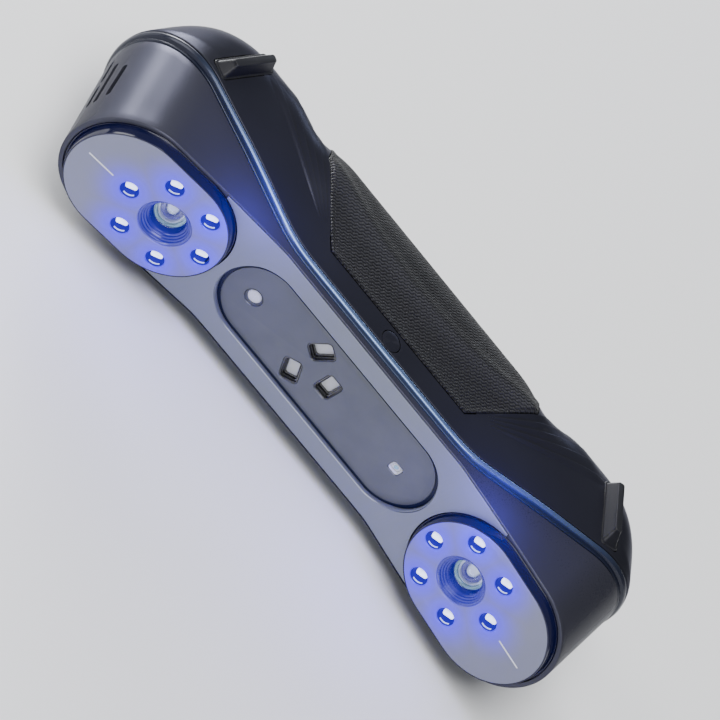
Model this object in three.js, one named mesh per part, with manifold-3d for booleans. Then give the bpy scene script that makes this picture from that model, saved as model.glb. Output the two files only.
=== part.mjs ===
// Handheld structured-light scanner: two tilted camera windows at the ends, a narrow waist with a
// gripped rear body, and a sensor panel in the middle. Millimetres, +Z up. The scanner lies on one
// flank: X runs along its length, -Y is the side that faces the scanned object, Z runs across it.
import * as THREE from 'three';
import { mergeVertices } from 'three/addons/utils/BufferGeometryUtils.js';
import Module from 'manifold-3d';

const wasm = await Module();
wasm.setup();

// ---------------------------------------------------------------- driving dimensions
const GAP = 0.3; // clearance between neighbouring pieces

// Body envelope. Depth (Y) is measured from the centres of the two camera windows.
const FRONT_WAIST = 20.4; // half width of the front shell at the waist
const REAR_WAIST = 21.1; // half width of the rear shell at the waist
const HEAD_HALF = 21.1; // half width of the front shell beside the windows
const SEAM_HALF = 22.3; // half width of the front shell where its ends meet the trim
const REAR_HALF = 23.0; // half width of the rear shell at the ends
const FLARE_FROM = 30; // the flanks flare out between these distances from the middle
const FLARE_TO = 68;
const HEAD_END = 101; // end of the front shell at the depth of the window centres
const HALF_LENGTH = 107.8; // end of the rear shell at the seam, half the overall length
const END_GROWTH = 0.17; // growth of the front shell's end per millimetre of depth
const END_SLANT = 0.45; // the rear shell's ends draw in by this much per millimetre of depth
const END_SQUARENESS = 0.16; // how square the ends' rear corners are, 1 for round
const BACK = 66.9; // rearmost depth of the grip
const BACK_ROUND = 22; // depth of the rounding of the back
const HOLLOW_AT = 51.6; // finger hollow between the grip and each end
const HOLLOW_DEPTH = 4.2;
const HOLLOW_SPREAD = 8;
const END_DROP = 0.9; // the ends' back lies this much in front of the grip's
const FRONT_WALL = 1.8;
const REAR_WALL = 3.2;

// Seam between front and rear: level at the waist, then sloping back to the ends.
const SEAM_WAIST = 13.9;
const SEAM_BEND = 39.3;
const SEAM_SLOPE = 0.345;
const SEAM_SOFTNESS = 5;
const TRIM_WIDTH = 3.3;
const TRIM_WALL = 3.0;

// Front plate and sensor panel.
const PLATE_FRONT = 8.1;
const PLATE_THICK = 1.6;
const PLATE_END = 60.7; // the plate runs this far, between the window bezels and the rim
const RIM = 0.4; // the front shell's rim round the plate
const PANEL_REACH = 42.9; // half length of the panel's recess
const PANEL_HALF = 13.6; // half width of the panel's recess
const PANEL_PAD_HALF = 12.5; // half width of its raised cover
const PANEL_PAD_FRONT = 9.2;
const PANEL_LEDGE = 1.4; // the panel reaches this far under the plate
const PANEL_FRONT = 10.0;
const PANEL_BACK = 11.2;

// Camera heads. Each is built about its window centre: local x outward, z forward.
const CAMERA_X = 64.8;
const TOE_IN = THREE.MathUtils.degToRad(9.92);
const WINDOW_R = 18.95;
const WINDOW_INNER = 0.65; // arc centres of the window's outline, along local x
const WINDOW_OUTER = 14.05;
const COVER_THICK = 1.2;
const OPEN_FRONT = 5; // cuts run this far out of a window's face
const HEAD_FACE = -3.4; // the front shell's face round a window, below the window's face
const BEZEL_TOP = -1.4;
const BEZEL_BASE = -4.2;
const BEZEL_SKIRT = -9;
const BEZEL_SPREAD = 0.95; // the bezel's foot stands out this far past the window
const BEZEL_RIM = 2.4;
const BEZEL_LEDGE = 3.4;
const LED_CIRCLE = 13.65;
const LED_HOLE = 2.8;
const LENS_HOLE = 7.8;
const LED_COUNT = 6;
const BARREL_R = 6.6;
const BARREL_END = -19;
const BARREL_STEPS = [[7.0, -1.6], [6.1, -2.4], [5.3, -3.0], [5.3, -5.5], [4.2, -5.5]]; // radius, height
const BARREL_FLANGE_R = 7.3;
const BARREL_FLANGE_BACK = -6.0;
const LENS_R = 4.95;
const LENS_BACK = -5.1;
const LENS_EDGE = -3.4;
const LENS_RISE = 1.15;
const LENS_STEPS = 4;
const LED_PROFILE = [[0, -3.3], [2.2, -3.3], [2.2, -2.5], [1.7, -1.9], [0.9, -1.55], [0, -1.45]];
const LED_BOARD_FRONT = -3.6;
const LED_BOARD_BACK = -4.8;
const LED_BOARD_HOLE = 7.6;
const IMAGE_SENSOR_HALF = 11;
const IMAGE_SENSOR_THICK = 1.6;
const BENCH_SEAT = -13.5;

// Sensors behind the panel: x along the body, z across it, turn of the window's short side.
const LASER_R = 4.2;
const LASERS = [
  { x: 0, z: 0, turn: 0 },
  { x: -9.4, z: 6.3, turn: -Math.PI / 6 },
  { x: -9.7, z: -6.5, turn: Math.PI / 6 },
];
const PROJECTOR_X = -32.6;
const PROJECTOR_R = 2.75;
const COLOUR_X = 29.8;
const LASER_WINDOW_FRONT = 11.5; // the laser windows sit deep, behind the panel
const LASER_WINDOW_BACK = 12.3;
const LASER_WINDOW = { width: 5.7, height: 7.9, corner: 1.4 };
const COLOUR_WINDOW = { width: 3.9, height: 3.4, corner: 0.9 };
const WINDOW_STEP = 0.6; // width of the step round a panel window
const WINDOW_DROP = 0.5; // depth of that step below the panel's face
const WINDOW_FACE_DROP = 0.9;
const PROJECTOR_HALF = 6;
const COLOUR_CAMERA_HALF = 4.5;
const BENCH_Y = 26;
const BENCH_THICK = 4;
const BENCH_HALF = 9;
const BENCH_END = 40; // half length of the bench's middle
const LASER_BLOCK = { x: [-15.5, 6], z: [-12, 11.5], front: 16 };
const LUG_HALF = 8; // the lug that carries the tripod insert
const LUG_LIP = 5.4;
const SEAT_HALF = 13.5; // seat of a camera's barrel
const SEAT_END = 22;
const SEAT_THICK = 3;
const BAR_HALF = 3.3; // bar across the body that the shell screws bite into
const BAR_FRONT = 38;
const BAR_REACH = 18.8;
const WEB_FROM = 14; // web from a camera's seat to the bar, where it meets the seat
const WEB_TO = 21;
const WEB_NEAR = 79.5; // and where it meets the bar
const WEB_FAR = 85;
const WEB_DEPTH = 40;

// Cooling slots in the left end: turn from the lengthwise axis in degrees, and depths.
const VENTS = [
  { turn: 17, from: 9, to: 22.5 },
  { turn: 6, from: 7.5, to: 25 },
  { turn: -3, from: 19, to: 28.5 },
  { turn: -3, from: 7.5, to: 17 },
];
const VENT_CENTRE = 82;
const VENT_HALF = 0.8;

// Grip, keypad and boards.
const GRIP_FRONT = 22.3; // depth of the grip's front edge
const GRIP_CORNER = 29.2; // half length of that edge
const GRIP_REACH = 47; // half length of the grip at the back
const GRIP_REACH_DEPTH = 47;
const GRIP_PROUD = 0.4;
const GRIP_INSET = 1.2;
const KEYPAD_HALF_LENGTH = 20;
const KEYPAD_R = 6.6;
const KEYPAD_FACE = 66.5;
const KEYPAD_THICK = 1.8;
const BUTTONS = [
  { name: 'scan_button', x: 0, r: 4.3 },
  { name: 'plus_button', x: 11.5, r: 3.0 },
  { name: 'minus_button', x: -11.5, r: 3.0 },
];
const BUTTON_FACE = 67.2;
const BUTTON_TRAVEL = 0.5;
const SWITCH_TOP = 62.2;
const STATUS_X = 17.2;
const BOARD_Y = 45.2; // front face of the main board
const BOARD_END = 92;
const BOARD_THICK = 1.6;
const BOARD_HALF = 14;
const SINK = { from: -80, to: -48, half: 12, base: 1.7, top: 9.5, fins: 8, pitch: 3.2, fin: 0.5 };
const CHIPS = [[-8, 8, -8, 8, 1.6], [20, 32, -6, 6, 1.2], [44, 60, 4, 11, 3.4]]; // x, z and height
const KEYPAD_LEDGE = 1.2;
const STATUS_SLOT = { width: 1.8, height: 4.4, corner: 0.8 };
const KEY_FLANGE = 0.6; // how far a key's flange reaches under the keypad, and its thickness

// Cable port, tripod seat, feet and screws.
const PORT_Y = 48.7;
const PORT_FLOOR = 97.4;
const PORT_WIDTH = 14;
const PORT_HEIGHT = 8;
const PORT_CORNER = 1.6;
const PORT_WALL = 1.2;
const RECEPTACLE = { width: 9, height: 3.2, corner: 1.3, wall: 0.3, length: 10.5 };
const PLUG_Y = 17.6;
const PLUG_R = 3.3;
const PLUG_DEPTH = 6.5;
const PLUG_STEM_R = 2.4;
const PLUG_CAP = 1.6;
const INSERT_R = 4.3;
const INSERT_BORE_R = 2.75;
const INSERT_LOW = 11.6;
const INSERT_HIGH = 16.3;
const FOOT_X = 82.2; // centre of each rubber foot
const FOOT_Y = 42.1;
const FOOT_TURN = THREE.MathUtils.degToRad(25.4);
const FOOT_WIDTH = 6.3;
const FOOT_LENGTH = 21.9;
const FOOT_CORNER = 0.8;
const FOOT_CREST = 2.2;
const FOOT_RAMP = 3.6;
const FOOT_BASE = 22.0; // heights above the middle plane
const FOOT_TOP = 26.4;
const SCREW_R = 1.25;
const SCREW_HEAD_R = 2.5;
const SCREW_HEAD = 1.3;
const SCREW_SOCKET_R = 1.2;
const SCREW_TIP = 12.5;
const SIDES = [1, -1];
const OUTSIDE = 120; // cuts that leave the body run this far

// ---------------------------------------------------------------- materials
const finish = (color, roughness, metalness = 0) =>
  new THREE.MeshStandardMaterial({ color, roughness, metalness });

const frontFinish = finish(0x4a4b58, 0.38, 0.35);
const plateFinish = finish(0x80879a, 0.42, 0.3);
const panelFinish = finish(0x5c6476, 0.4, 0.2);
const trimFinish = finish(0x5c7cae, 0.18, 0.4);
const rearFinish = finish(0x2c2e3b, 0.55);
const gripFinish = finish(0x1f1f23, 0.85);
const bezelFinish = finish(0x14173a, 0.08);
const coverFinish = finish(0x70769a, 0.35);
const glassFinish = finish(0xd6e6f2, 0.03);
const darkGlassFinish = finish(0x101018, 0.05);
const blackFinish = finish(0x15151a, 0.5);
const rubberFinish = finish(0x24262e, 0.7);
const ledFinish = finish(0x5060ff, 0.3);
const emitterFinish = finish(0xd8dae0, 0.4);
const boardFinish = finish(0x12402a, 0.6);
const aluminiumFinish = finish(0xa8acb2, 0.4, 0.9);
const brassFinish = finish(0xb08d4c, 0.35, 0.9);
const steelFinish = finish(0x9a9ca0, 0.3, 0.95);
const statusFinish = finish(0x9fe8ff, 0.3);

// ---------------------------------------------------------------- solids
const model = new THREE.Group();
model.name = 'handheld_scanner';
const IDENTITY = new THREE.Matrix4();

// A closed geometry, moved by a matrix, as a solid that can be joined and cut.
function solid(geometry, matrix = IDENTITY) {
  const moved = geometry.index ? geometry.clone() : geometry;
  moved.applyMatrix4(matrix);
  moved.deleteAttribute('normal');
  moved.deleteAttribute('uv');
  const merged = mergeVertices(moved, 1e-4);
  return new wasm.Manifold(new wasm.Mesh({
    numProp: 3,
    vertProperties: new Float32Array(merged.attributes.position.array),
    triVerts: new Uint32Array(merged.index.array),
  }));
}

function addMesh(name, shape, material, parent = model) {
  const { vertProperties, triVerts } = shape.getMesh();
  const geometry = new THREE.BufferGeometry();
  geometry.setAttribute('position', new THREE.BufferAttribute(vertProperties, 3));
  geometry.setIndex(new THREE.BufferAttribute(triVerts, 1));
  const mesh = new THREE.Mesh(geometry, material);
  mesh.name = name;
  parent.add(mesh);
}

const move = (x, y, z) => new THREE.Matrix4().makeTranslation(x, y, z);

function box(x0, x1, y0, y1, z0, z1, matrix = IDENTITY) {
  const place = move((x0 + x1) / 2, (y0 + y1) / 2, (z0 + z1) / 2);
  return solid(new THREE.BoxGeometry(x1 - x0, y1 - y0, z1 - z0), place.premultiply(matrix));
}

// A rod along local z from z0 to z1.
function rod(radius, z0, z1, matrix = IDENTITY, sides = 24) {
  const geometry = new THREE.CylinderGeometry(radius, radius, z1 - z0, sides);
  const place = move(0, 0, (z0 + z1) / 2).multiply(new THREE.Matrix4().makeRotationX(Math.PI / 2));
  return solid(geometry, place.premultiply(matrix));
}

// A shape drawn in local xy and extruded from z0 to z1.
function prism(shape, z0, z1, matrix = IDENTITY, curveSegments = 7) {
  const geometry = new THREE.ExtrudeGeometry(shape, { depth: z1 - z0, bevelEnabled: false, curveSegments });
  return solid(geometry, move(0, 0, z0).premultiply(matrix));
}

// Outline with round ends of radius r about (x0, 0) and (x1, 0).
function stadium(x0, x1, r) {
  const shape = new THREE.Shape();
  shape.moveTo(x0, -r);
  shape.lineTo(x1, -r);
  shape.absarc(x1, 0, r, -Math.PI / 2, Math.PI / 2);
  shape.lineTo(x0, r);
  shape.absarc(x0, 0, r, Math.PI / 2, Math.PI * 1.5);
  return shape;
}

function roundedRect(width, height, r) {
  const [a, b] = [width / 2, height / 2];
  const shape = new THREE.Shape();
  shape.moveTo(r - a, -b);
  shape.lineTo(a - r, -b);
  shape.absarc(a - r, r - b, r, -Math.PI / 2, 0);
  shape.lineTo(a, b - r);
  shape.absarc(a - r, b - r, r, 0, Math.PI / 2);
  shape.lineTo(r - a, b);
  shape.absarc(r - a, b - r, r, Math.PI / 2, Math.PI);
  shape.lineTo(-a, r - b);
  shape.absarc(r - a, r - b, r, Math.PI, Math.PI * 1.5);
  return shape;
}

const polygon = (points) => new THREE.Shape(points.map(([x, y]) => new THREE.Vector2(x, y)));

// Local z along +Y and local x along +X, at a point of the panel or the back, turned in the XZ plane.
const onFace = (x, z, turn = 0) => move(x, 0, z)
  .multiply(new THREE.Matrix4().makeRotationX(-Math.PI / 2))
  .multiply(new THREE.Matrix4().makeRotationZ(-turn));

// Local z along +X, local x along -Z and local y along +Y.
const alongX = (y, z) => move(0, y, z).multiply(new THREE.Matrix4().makeRotationY(Math.PI / 2));

// Centre and turn of a foot; local y runs along it, from its front end to its back end.
const footMatrix = (side) => move(side * FOOT_X, FOOT_Y, 0)
  .multiply(new THREE.Matrix4().makeRotationZ(side * FOOT_TURN));

// Skins a list of rings that all follow the body's stations. The first and last rings are closed
// by strips across the body, or joined to each other when the skin wraps round a hole.
function skin(rings, wraps = false) {
  const count = rings[0].length;
  const faces = [];
  const bands = wraps ? rings.length : rings.length - 1;
  const quad = (a, b, c, d) => faces.push(a, b, c, a, c, d);
  for (let r = 0; r < bands; r += 1) {
    const [a, b] = [r * count, ((r + 1) % rings.length) * count];
    for (let i = 0; i < count; i += 1) {
      const j = (i + 1) % count;
      quad(a + i, b + i, b + j, a + j);
    }
  }
  if (!wraps) {
    const last = (rings.length - 1) * count;
    const across = (start, i) => start + (ARC_STEPS / 2 + i + count) % count;
    for (let i = 0; i < count / 2; i += 1) {
      quad(across(0, i), across(0, i + 1), across(0, -i - 1), across(0, -i));
      quad(across(last, -i), across(last, -i - 1), across(last, i + 1), across(last, i));
    }
  }
  const geometry = new THREE.BufferGeometry();
  geometry.setAttribute('position', new THREE.Float32BufferAttribute(rings.flat(2), 3));
  geometry.setIndex(faces);
  return solid(geometry);
}

// ---------------------------------------------------------------- outlines
const windowOutline = (grow) => stadium(WINDOW_INNER, WINDOW_OUTER, WINDOW_R + grow);
const keypadCentre = KEYPAD_HALF_LENGTH - KEYPAD_R;
const keypadOutline = (grow) => stadium(-keypadCentre, keypadCentre, KEYPAD_R + grow);
const grown = ({ width, height, corner }, grow) =>
  roundedRect(width + 2 * grow, height + 2 * grow, corner + grow);
const laserOutline = (grow) => grown(LASER_WINDOW, grow);
const colourOutline = (grow) => grown(COLOUR_WINDOW, grow);
const panelOutline = (half) => stadium(PANEL_HALF - PANEL_REACH, PANEL_REACH - PANEL_HALF, half);

// ---------------------------------------------------------------- body envelope
const ARC_STEPS = 10;
const FLANK_STOPS = [0, 0.3, 0.42, 0.5, 0.59, 0.68, 0.8];

// Stations round the body's outline: round ends by angle, flanks by their share of the length.
const stations = [];
for (const end of [1, -1]) {
  const start = end > 0 ? -90 : 90;
  for (let i = 0; i <= ARC_STEPS; i += 1) {
    stations.push({ end, angle: THREE.MathUtils.degToRad(start + 180 * i / ARC_STEPS) });
  }
  const shares = [...FLANK_STOPS.slice(1).reverse(), ...FLANK_STOPS.map((s) => -s)];
  for (const share of shares) {
    stations.push({ end, share: share * end });
  }
}

const ease = (t) => {
  const c = THREE.MathUtils.clamp(t, 0, 1);
  return c * c * (3 - 2 * c);
};

// The two envelopes: half widths and end position at a depth.
const frontEnvelope = {
  waist: FRONT_WAIST,
  endHalf: (y) => HEAD_HALF + Math.max(0, y - 5) * (SEAM_HALF - HEAD_HALF) / 32,
  end: (y) => HEAD_END + END_GROWTH * y,
};
const rearEnvelope = {
  waist: REAR_WAIST,
  endHalf: () => REAR_HALF,
  end: (y) => HALF_LENGTH - END_SLANT * Math.max(0, y - seamDepth(HALF_LENGTH)),
};

function seamDepth(x) {
  const past = Math.abs(x) - SEAM_BEND;
  return SEAM_WAIST + SEAM_SLOPE * (past + Math.hypot(past, SEAM_SOFTNESS)) / 2;
}

function backDepth(x) {
  const away = (Math.abs(x) - HOLLOW_AT) / HOLLOW_SPREAD;
  const drop = END_DROP * ease((Math.abs(x) - HOLLOW_AT) / HOLLOW_SPREAD);
  return BACK - HOLLOW_DEPTH * Math.exp(-away * away) - drop;
}

// How far the flank has flared out, from 0 at the waist to 1 at the ends.
const flare = (x) => ease((Math.abs(x) - FLARE_FROM) / (FLARE_TO - FLARE_FROM));

// Point of an envelope at a station, a depth, an inward offset and a share of the full width.
function envelopePoint(envelope, station, y, offset = 0, share = 1) {
  const half = envelope.endHalf(y);
  const centre = envelope.end(y) - half;
  if (station.angle !== undefined) {
    const reach = half - offset;
    const out = reach * share ** END_SQUARENESS * Math.cos(station.angle);
    return [station.end * centre + out, y, reach * share * Math.sin(station.angle)];
  }
  const x = station.share * centre;
  const width = envelope.waist + (half - envelope.waist) * flare(x);
  return [x, y, station.end * (width - offset) * share];
}

// Ring of an envelope whose depth follows depthAt(x); x is settled by repetition.
function ring(envelope, depthAt, offset = 0) {
  return stations.map((station) => {
    let point = envelopePoint(envelope, station, 30, offset);
    for (let i = 0; i < 4; i += 1) {
      point = envelopePoint(envelope, station, depthAt(point[0]), offset);
    }
    return point;
  });
}

// Ring on the rounded back, at an angle from the start of the rounding to the rear.
function backRing(angle, offset) {
  const roundingDepth = (x) => backDepth(x) - BACK_ROUND + (BACK_ROUND - offset) * Math.sin(angle);
  return stations.map((station) => {
    let point = envelopePoint(rearEnvelope, station, 50, offset, Math.cos(angle));
    for (let i = 0; i < 4; i += 1) {
      point = envelopePoint(rearEnvelope, station, roundingDepth(point[0]), offset, Math.cos(angle));
    }
    return point;
  });
}

const BACK_ANGLES = [0, 20, 40, 58, 73, 85].map(THREE.MathUtils.degToRad);

// Rings of the rear envelope from the given front depth to the back.
function rearRings(depthAt, offset) {
  return [ring(rearEnvelope, depthAt, offset), ...BACK_ANGLES.map((angle) => backRing(angle, offset))];
}

const rearSolid = (offset) => skin(rearRings(() => 8, offset));
const frontSolid = (offset) => skin([-8, 2, 14].map((y) => ring(frontEnvelope, () => y, offset)));

// Everything in front of the folded face: flat in the middle, and parallel to the windows beyond
// the folds. It can be moved back by a drop.
function inFrontOfFace(drop) {
  const fold = CAMERA_X - (PLATE_FRONT + HEAD_FACE / Math.cos(TOE_IN)) / Math.tan(TOE_IN);
  const reach = 130;
  const half = [
    [fold, PLATE_FRONT + drop],
    [reach, PLATE_FRONT + drop / Math.cos(TOE_IN) - (reach - fold) * Math.tan(TOE_IN)],
    [reach, -60],
  ];
  return prism(polygon([...half, ...half.map(([x, y]) => [-x, y]).reverse()]), -40, 40);
}

// ---------------------------------------------------------------- camera head frames
function headMatrix(side) {
  const outward = new THREE.Vector3(side * Math.cos(TOE_IN), -Math.sin(TOE_IN), 0);
  const forward = new THREE.Vector3(-side * Math.sin(TOE_IN), -Math.cos(TOE_IN), 0);
  const up = forward.clone().cross(outward);
  return new THREE.Matrix4().makeBasis(outward, up, forward).setPosition(side * CAMERA_X, 0, 0);
}

// ---------------------------------------------------------------- shells
function frontShell() {
  const lower = (x) => seamDepth(x) - TRIM_WIDTH - GAP;
  const stops = [-8, 2];
  const outer = stops.map((y) => ring(frontEnvelope, () => y));
  const inner = stops.map((y) => ring(frontEnvelope, () => y, FRONT_WALL)).reverse();
  const edges = [ring(frontEnvelope, lower), ring(frontEnvelope, lower, FRONT_WALL)];
  let shell = skin([...outer, ...edges, ...inner], true);
  const plateEnd = PLATE_END + GAP;
  const plateSeat = inFrontOfFace(PLATE_THICK + GAP).intersect(box(-plateEnd, plateEnd, -20, 20, -40, 40));
  shell = shell.subtract(inFrontOfFace(0)).subtract(plateSeat.intersect(frontSolid(RIM)));
  for (const side of SIDES) {
    shell = shell.subtract(prism(windowOutline(BEZEL_SPREAD + GAP), BEZEL_BASE - GAP, 5, headMatrix(side)));
  }
  return ventSlots().reduce((left, slot) => left.subtract(slot), shell);
}

// Four cooling slots through the left end, staggered along the depth.
function ventSlots() {
  return VENTS.map(({ turn, from, to }) => {
    const rotation = new THREE.Matrix4().makeRotationY(THREE.MathUtils.degToRad(turn));
    const place = move(-VENT_CENTRE, 0, 0).multiply(rotation);
    return box(-40, -8, from, to, -VENT_HALF, VENT_HALF, place);
  });
}

function seamTrim() {
  const front = (x) => seamDepth(x) - TRIM_WIDTH;
  const back = (x) => seamDepth(x) - GAP;
  return skin([
    ring(frontEnvelope, front),
    ring(rearEnvelope, back),
    ring(rearEnvelope, back, TRIM_WALL + REAR_WAIST - FRONT_WAIST),
    ring(frontEnvelope, front, TRIM_WALL),
  ], true);
}

// Side outline of the grip, extruded right across the body.
function gripRegion(grow) {
  const half = [
    [GRIP_CORNER + grow, GRIP_FRONT - grow],
    [GRIP_REACH + grow, GRIP_REACH_DEPTH - grow],
    [GRIP_REACH + grow, OUTSIDE],
  ];
  const mirrored = half.map(([x, y]) => [-x, y]).reverse();
  return prism(polygon([...half, ...mirrored]), -40, 40);
}

function rearShell() {
  let shell = skin([...rearRings(seamDepth, REAR_WALL).reverse(), ...rearRings(seamDepth, 0)]);
  shell = shell.subtract(gripRegion(GAP).subtract(rearSolid(GRIP_INSET + GAP)));
  // Pocket for the keypad, and the well that its buttons pass through.
  shell = shell.subtract(prism(keypadOutline(GAP), KEYPAD_FACE - KEYPAD_THICK - GAP, OUTSIDE, onFace(0, 0)));
  shell = shell.subtract(prism(keypadOutline(-KEYPAD_LEDGE), OUTSIDE / 2, OUTSIDE, onFace(0, 0)));
  // Cable port: a moulded socket with an open mouth and a slot for the receptacle.
  const mouth = { width: PORT_WIDTH, height: PORT_HEIGHT, corner: PORT_CORNER };
  const socket = prism(grown(mouth, PORT_WALL), PORT_FLOOR - PORT_WALL, OUTSIDE, alongX(PORT_Y, 0), 2);
  shell = shell.add(socket.intersect(rearSolid(PORT_WALL / 2)));
  shell = shell.subtract(prism(grown(mouth, 0), PORT_FLOOR, OUTSIDE, alongX(PORT_Y, 0), 2));
  shell = shell.subtract(prism(grown(RECEPTACLE, 1.5 * GAP), PORT_FLOOR - 5, OUTSIDE, alongX(PORT_Y, 0), 3));
  // Tripod hole on the upper flank.
  shell = shell.subtract(rod(PLUG_R + GAP, 5, 40, move(0, PLUG_Y, 0)));
  for (const side of SIDES) {
    const place = footMatrix(side);
    for (const up of SIDES) {
      const [low, high] = up > 0 ? [FOOT_BASE - GAP, 30] : [-30, GAP - FOOT_BASE];
      const seat = roundedRect(FOOT_WIDTH + 2 * GAP, FOOT_LENGTH + 2 * GAP, FOOT_CORNER);
      shell = shell.subtract(prism(seat, low, high, place, 2));
    }
    shell = shell.subtract(rod(SCREW_R + GAP, -30, 30, place, 10));
  }
  return shell;
}

function gripSleeve() {
  const skinSolid = rearSolid(-GRIP_PROUD).subtract(rearSolid(GRIP_INSET));
  const keypadHole = prism(keypadOutline(GAP), OUTSIDE / 2, OUTSIDE, onFace(0, 0));
  return skinSolid.intersect(gripRegion(0)).subtract(keypadHole);
}

// ---------------------------------------------------------------- front plate and sensor panel
function frontPlate() {
  const slab = inFrontOfFace(PLATE_THICK).subtract(inFrontOfFace(0));
  let plate = slab.intersect(frontSolid(RIM + GAP)).intersect(box(-PLATE_END, PLATE_END, -20, 20, -40, 40));
  plate = plate.subtract(prism(panelOutline(PANEL_HALF), 0, 20, onFace(0, 0)));
  for (const side of SIDES) {
    plate = plate.subtract(prism(windowOutline(BEZEL_SPREAD + GAP), -20, 5, headMatrix(side)));
  }
  return plate;
}

function centrePanel() {
  let panel = prism(panelOutline(PANEL_HALF + PANEL_LEDGE), PANEL_FRONT, PANEL_BACK, onFace(0, 0));
  panel = panel.add(prism(panelOutline(PANEL_PAD_HALF), PANEL_PAD_FRONT, PANEL_BACK, onFace(0, 0)));
  for (const { x, z, turn } of LASERS) {
    panel = panel.subtract(prism(laserOutline(0), 0, BENCH_Y, onFace(x, z, turn), 2));
  }
  panel = panel.subtract(rod(PROJECTOR_R, 0, BENCH_Y, onFace(PROJECTOR_X, 0), 16));
  return panel.subtract(prism(colourOutline(0), 0, BENCH_Y, onFace(COLOUR_X, 0), 2));
}

// Window in the panel: glass with a step round its edge.
function panelWindow(outline, place) {
  const glass = prism(outline(-GAP), PANEL_PAD_FRONT + WINDOW_DROP, PANEL_BACK - GAP / 3, place, 2);
  const face = PANEL_PAD_FRONT + WINDOW_FACE_DROP;
  return glass.subtract(prism(outline(-GAP - WINDOW_STEP), PANEL_PAD_FRONT, face, place, 2));
}

// A sensor's block between the panel and the bench.
const sensorBlock = (x, half) => box(x - half, x + half, PANEL_BACK + GAP, BENCH_Y - GAP, -half, half);

// ---------------------------------------------------------------- camera heads
function bezel(head) {
  const skirt = FRONT_WALL + GAP + WINDOW_R - HEAD_HALF;
  return prism(windowOutline(0), BEZEL_BASE, BEZEL_TOP, head)
    .add(prism(windowOutline(BEZEL_SPREAD / 2), BEZEL_BASE, (BEZEL_BASE + BEZEL_TOP) / 2, head))
    .add(prism(windowOutline(BEZEL_SPREAD), BEZEL_BASE, HEAD_FACE - 0.2, head))
    .add(prism(windowOutline(-skirt), BEZEL_SKIRT, BEZEL_BASE + 1, head))
    .subtract(prism(windowOutline(-BEZEL_RIM), BEZEL_BASE - 0.9, 5, head))
    .subtract(prism(windowOutline(-BEZEL_LEDGE), -20, 5, head));
}

const ledPlace = (head, i) => {
  const angle = 2 * Math.PI * i / LED_COUNT;
  return head.clone().multiply(move(LED_CIRCLE * Math.cos(angle), LED_CIRCLE * Math.sin(angle), 0));
};

function windowCover(head) {
  let cover = prism(windowOutline(0), -COVER_THICK, 0, head);
  cover = cover.subtract(rod(LENS_HOLE, -OPEN_FRONT, OPEN_FRONT, head, 24));
  for (let i = 0; i < LED_COUNT; i += 1) {
    cover = cover.subtract(rod(LED_HOLE, -OPEN_FRONT, OPEN_FRONT, ledPlace(head, i), 12));
  }
  return cover;
}

// Solid of revolution about local z from a closed [radius, height] outline.
function turned(outline, matrix, sides = 24) {
  const points = outline.map(([r, z]) => new THREE.Vector2(r, z));
  const closes = outline[0][0] !== 0;
  const geometry = new THREE.LatheGeometry(closes ? [...points, points[0]] : points, sides);
  return solid(geometry, new THREE.Matrix4().makeRotationX(Math.PI / 2).premultiply(matrix));
}

function lensBarrel(head) {
  const [mouthR, mouthTop] = BARREL_STEPS[0];
  const [innerR] = BARREL_STEPS.at(-1);
  return turned([
    ...BARREL_STEPS, [innerR, BARREL_END], [BARREL_R, BARREL_END], [BARREL_R, BARREL_FLANGE_BACK],
    [BARREL_FLANGE_R, BARREL_FLANGE_BACK], [BARREL_FLANGE_R, mouthTop], [mouthR + GAP / 3, mouthTop],
  ], head, 20);
}

function frontLens(head) {
  const dome = [];
  for (let i = 0; i <= LENS_STEPS; i += 1) {
    const angle = Math.PI / 2 * i / LENS_STEPS;
    dome.push([LENS_R * Math.cos(angle), LENS_EDGE + LENS_RISE * Math.sin(angle)]);
  }
  dome[LENS_STEPS][0] = 0;
  return turned([[0, LENS_BACK], [LENS_R, LENS_BACK], ...dome], head, 16);
}

function ledBoard(head) {
  return prism(windowOutline(-BEZEL_RIM - GAP), LED_BOARD_BACK, LED_BOARD_FRONT, head)
    .subtract(rod(LED_BOARD_HOLE, -2 * OPEN_FRONT, 0, head, 20));
}

const led = (place) => turned(LED_PROFILE, place, 8);

function imageSensor(head) {
  const half = IMAGE_SENSOR_HALF;
  const front = BARREL_END - GAP;
  return box(-half, half, -half, half, front - IMAGE_SENSOR_THICK + GAP, front, head);
}

// ---------------------------------------------------------------- optical bench and boards
function opticalBench() {
  const back = BENCH_Y + BENCH_THICK;
  let bench = box(-BENCH_END - 2, BENCH_END + 2, BENCH_Y, back, -BENCH_HALF, BENCH_HALF);
  for (const side of SIDES) {
    bench = bench.add(benchArm(side));
    bench = bench.subtract(rod(BARREL_R + GAP, 2 * BENCH_SEAT, 0, headMatrix(side), 16));
    bench = bench.subtract(rod(SCREW_R + GAP, -OUTSIDE, -SCREW_TIP + 1, footMatrix(side), 12));
    bench = bench.subtract(rod(SCREW_R + GAP, SCREW_TIP - 1, OUTSIDE, footMatrix(side), 12));
  }
  bench = bench.add(box(...LASER_BLOCK.x, LASER_BLOCK.front, BENCH_Y + 1, ...LASER_BLOCK.z));
  bench = bench.add(box(-LUG_HALF, LUG_HALF, PLUG_Y - LUG_LIP, back, INSERT_LOW - GAP, INSERT_HIGH));
  bench = bench.add(box(-LUG_HALF, LUG_HALF, BENCH_Y, back, BENCH_HALF - 1, INSERT_HIGH));
  for (const { x, z } of LASERS) {
    bench = bench.subtract(rod(LASER_R + GAP, 0, BENCH_Y, onFace(x, z), 14));
  }
  return bench.subtract(rod(INSERT_R + GAP, INSERT_LOW - 1, OUTSIDE, move(0, PLUG_Y, 0), 16));
}

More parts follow.
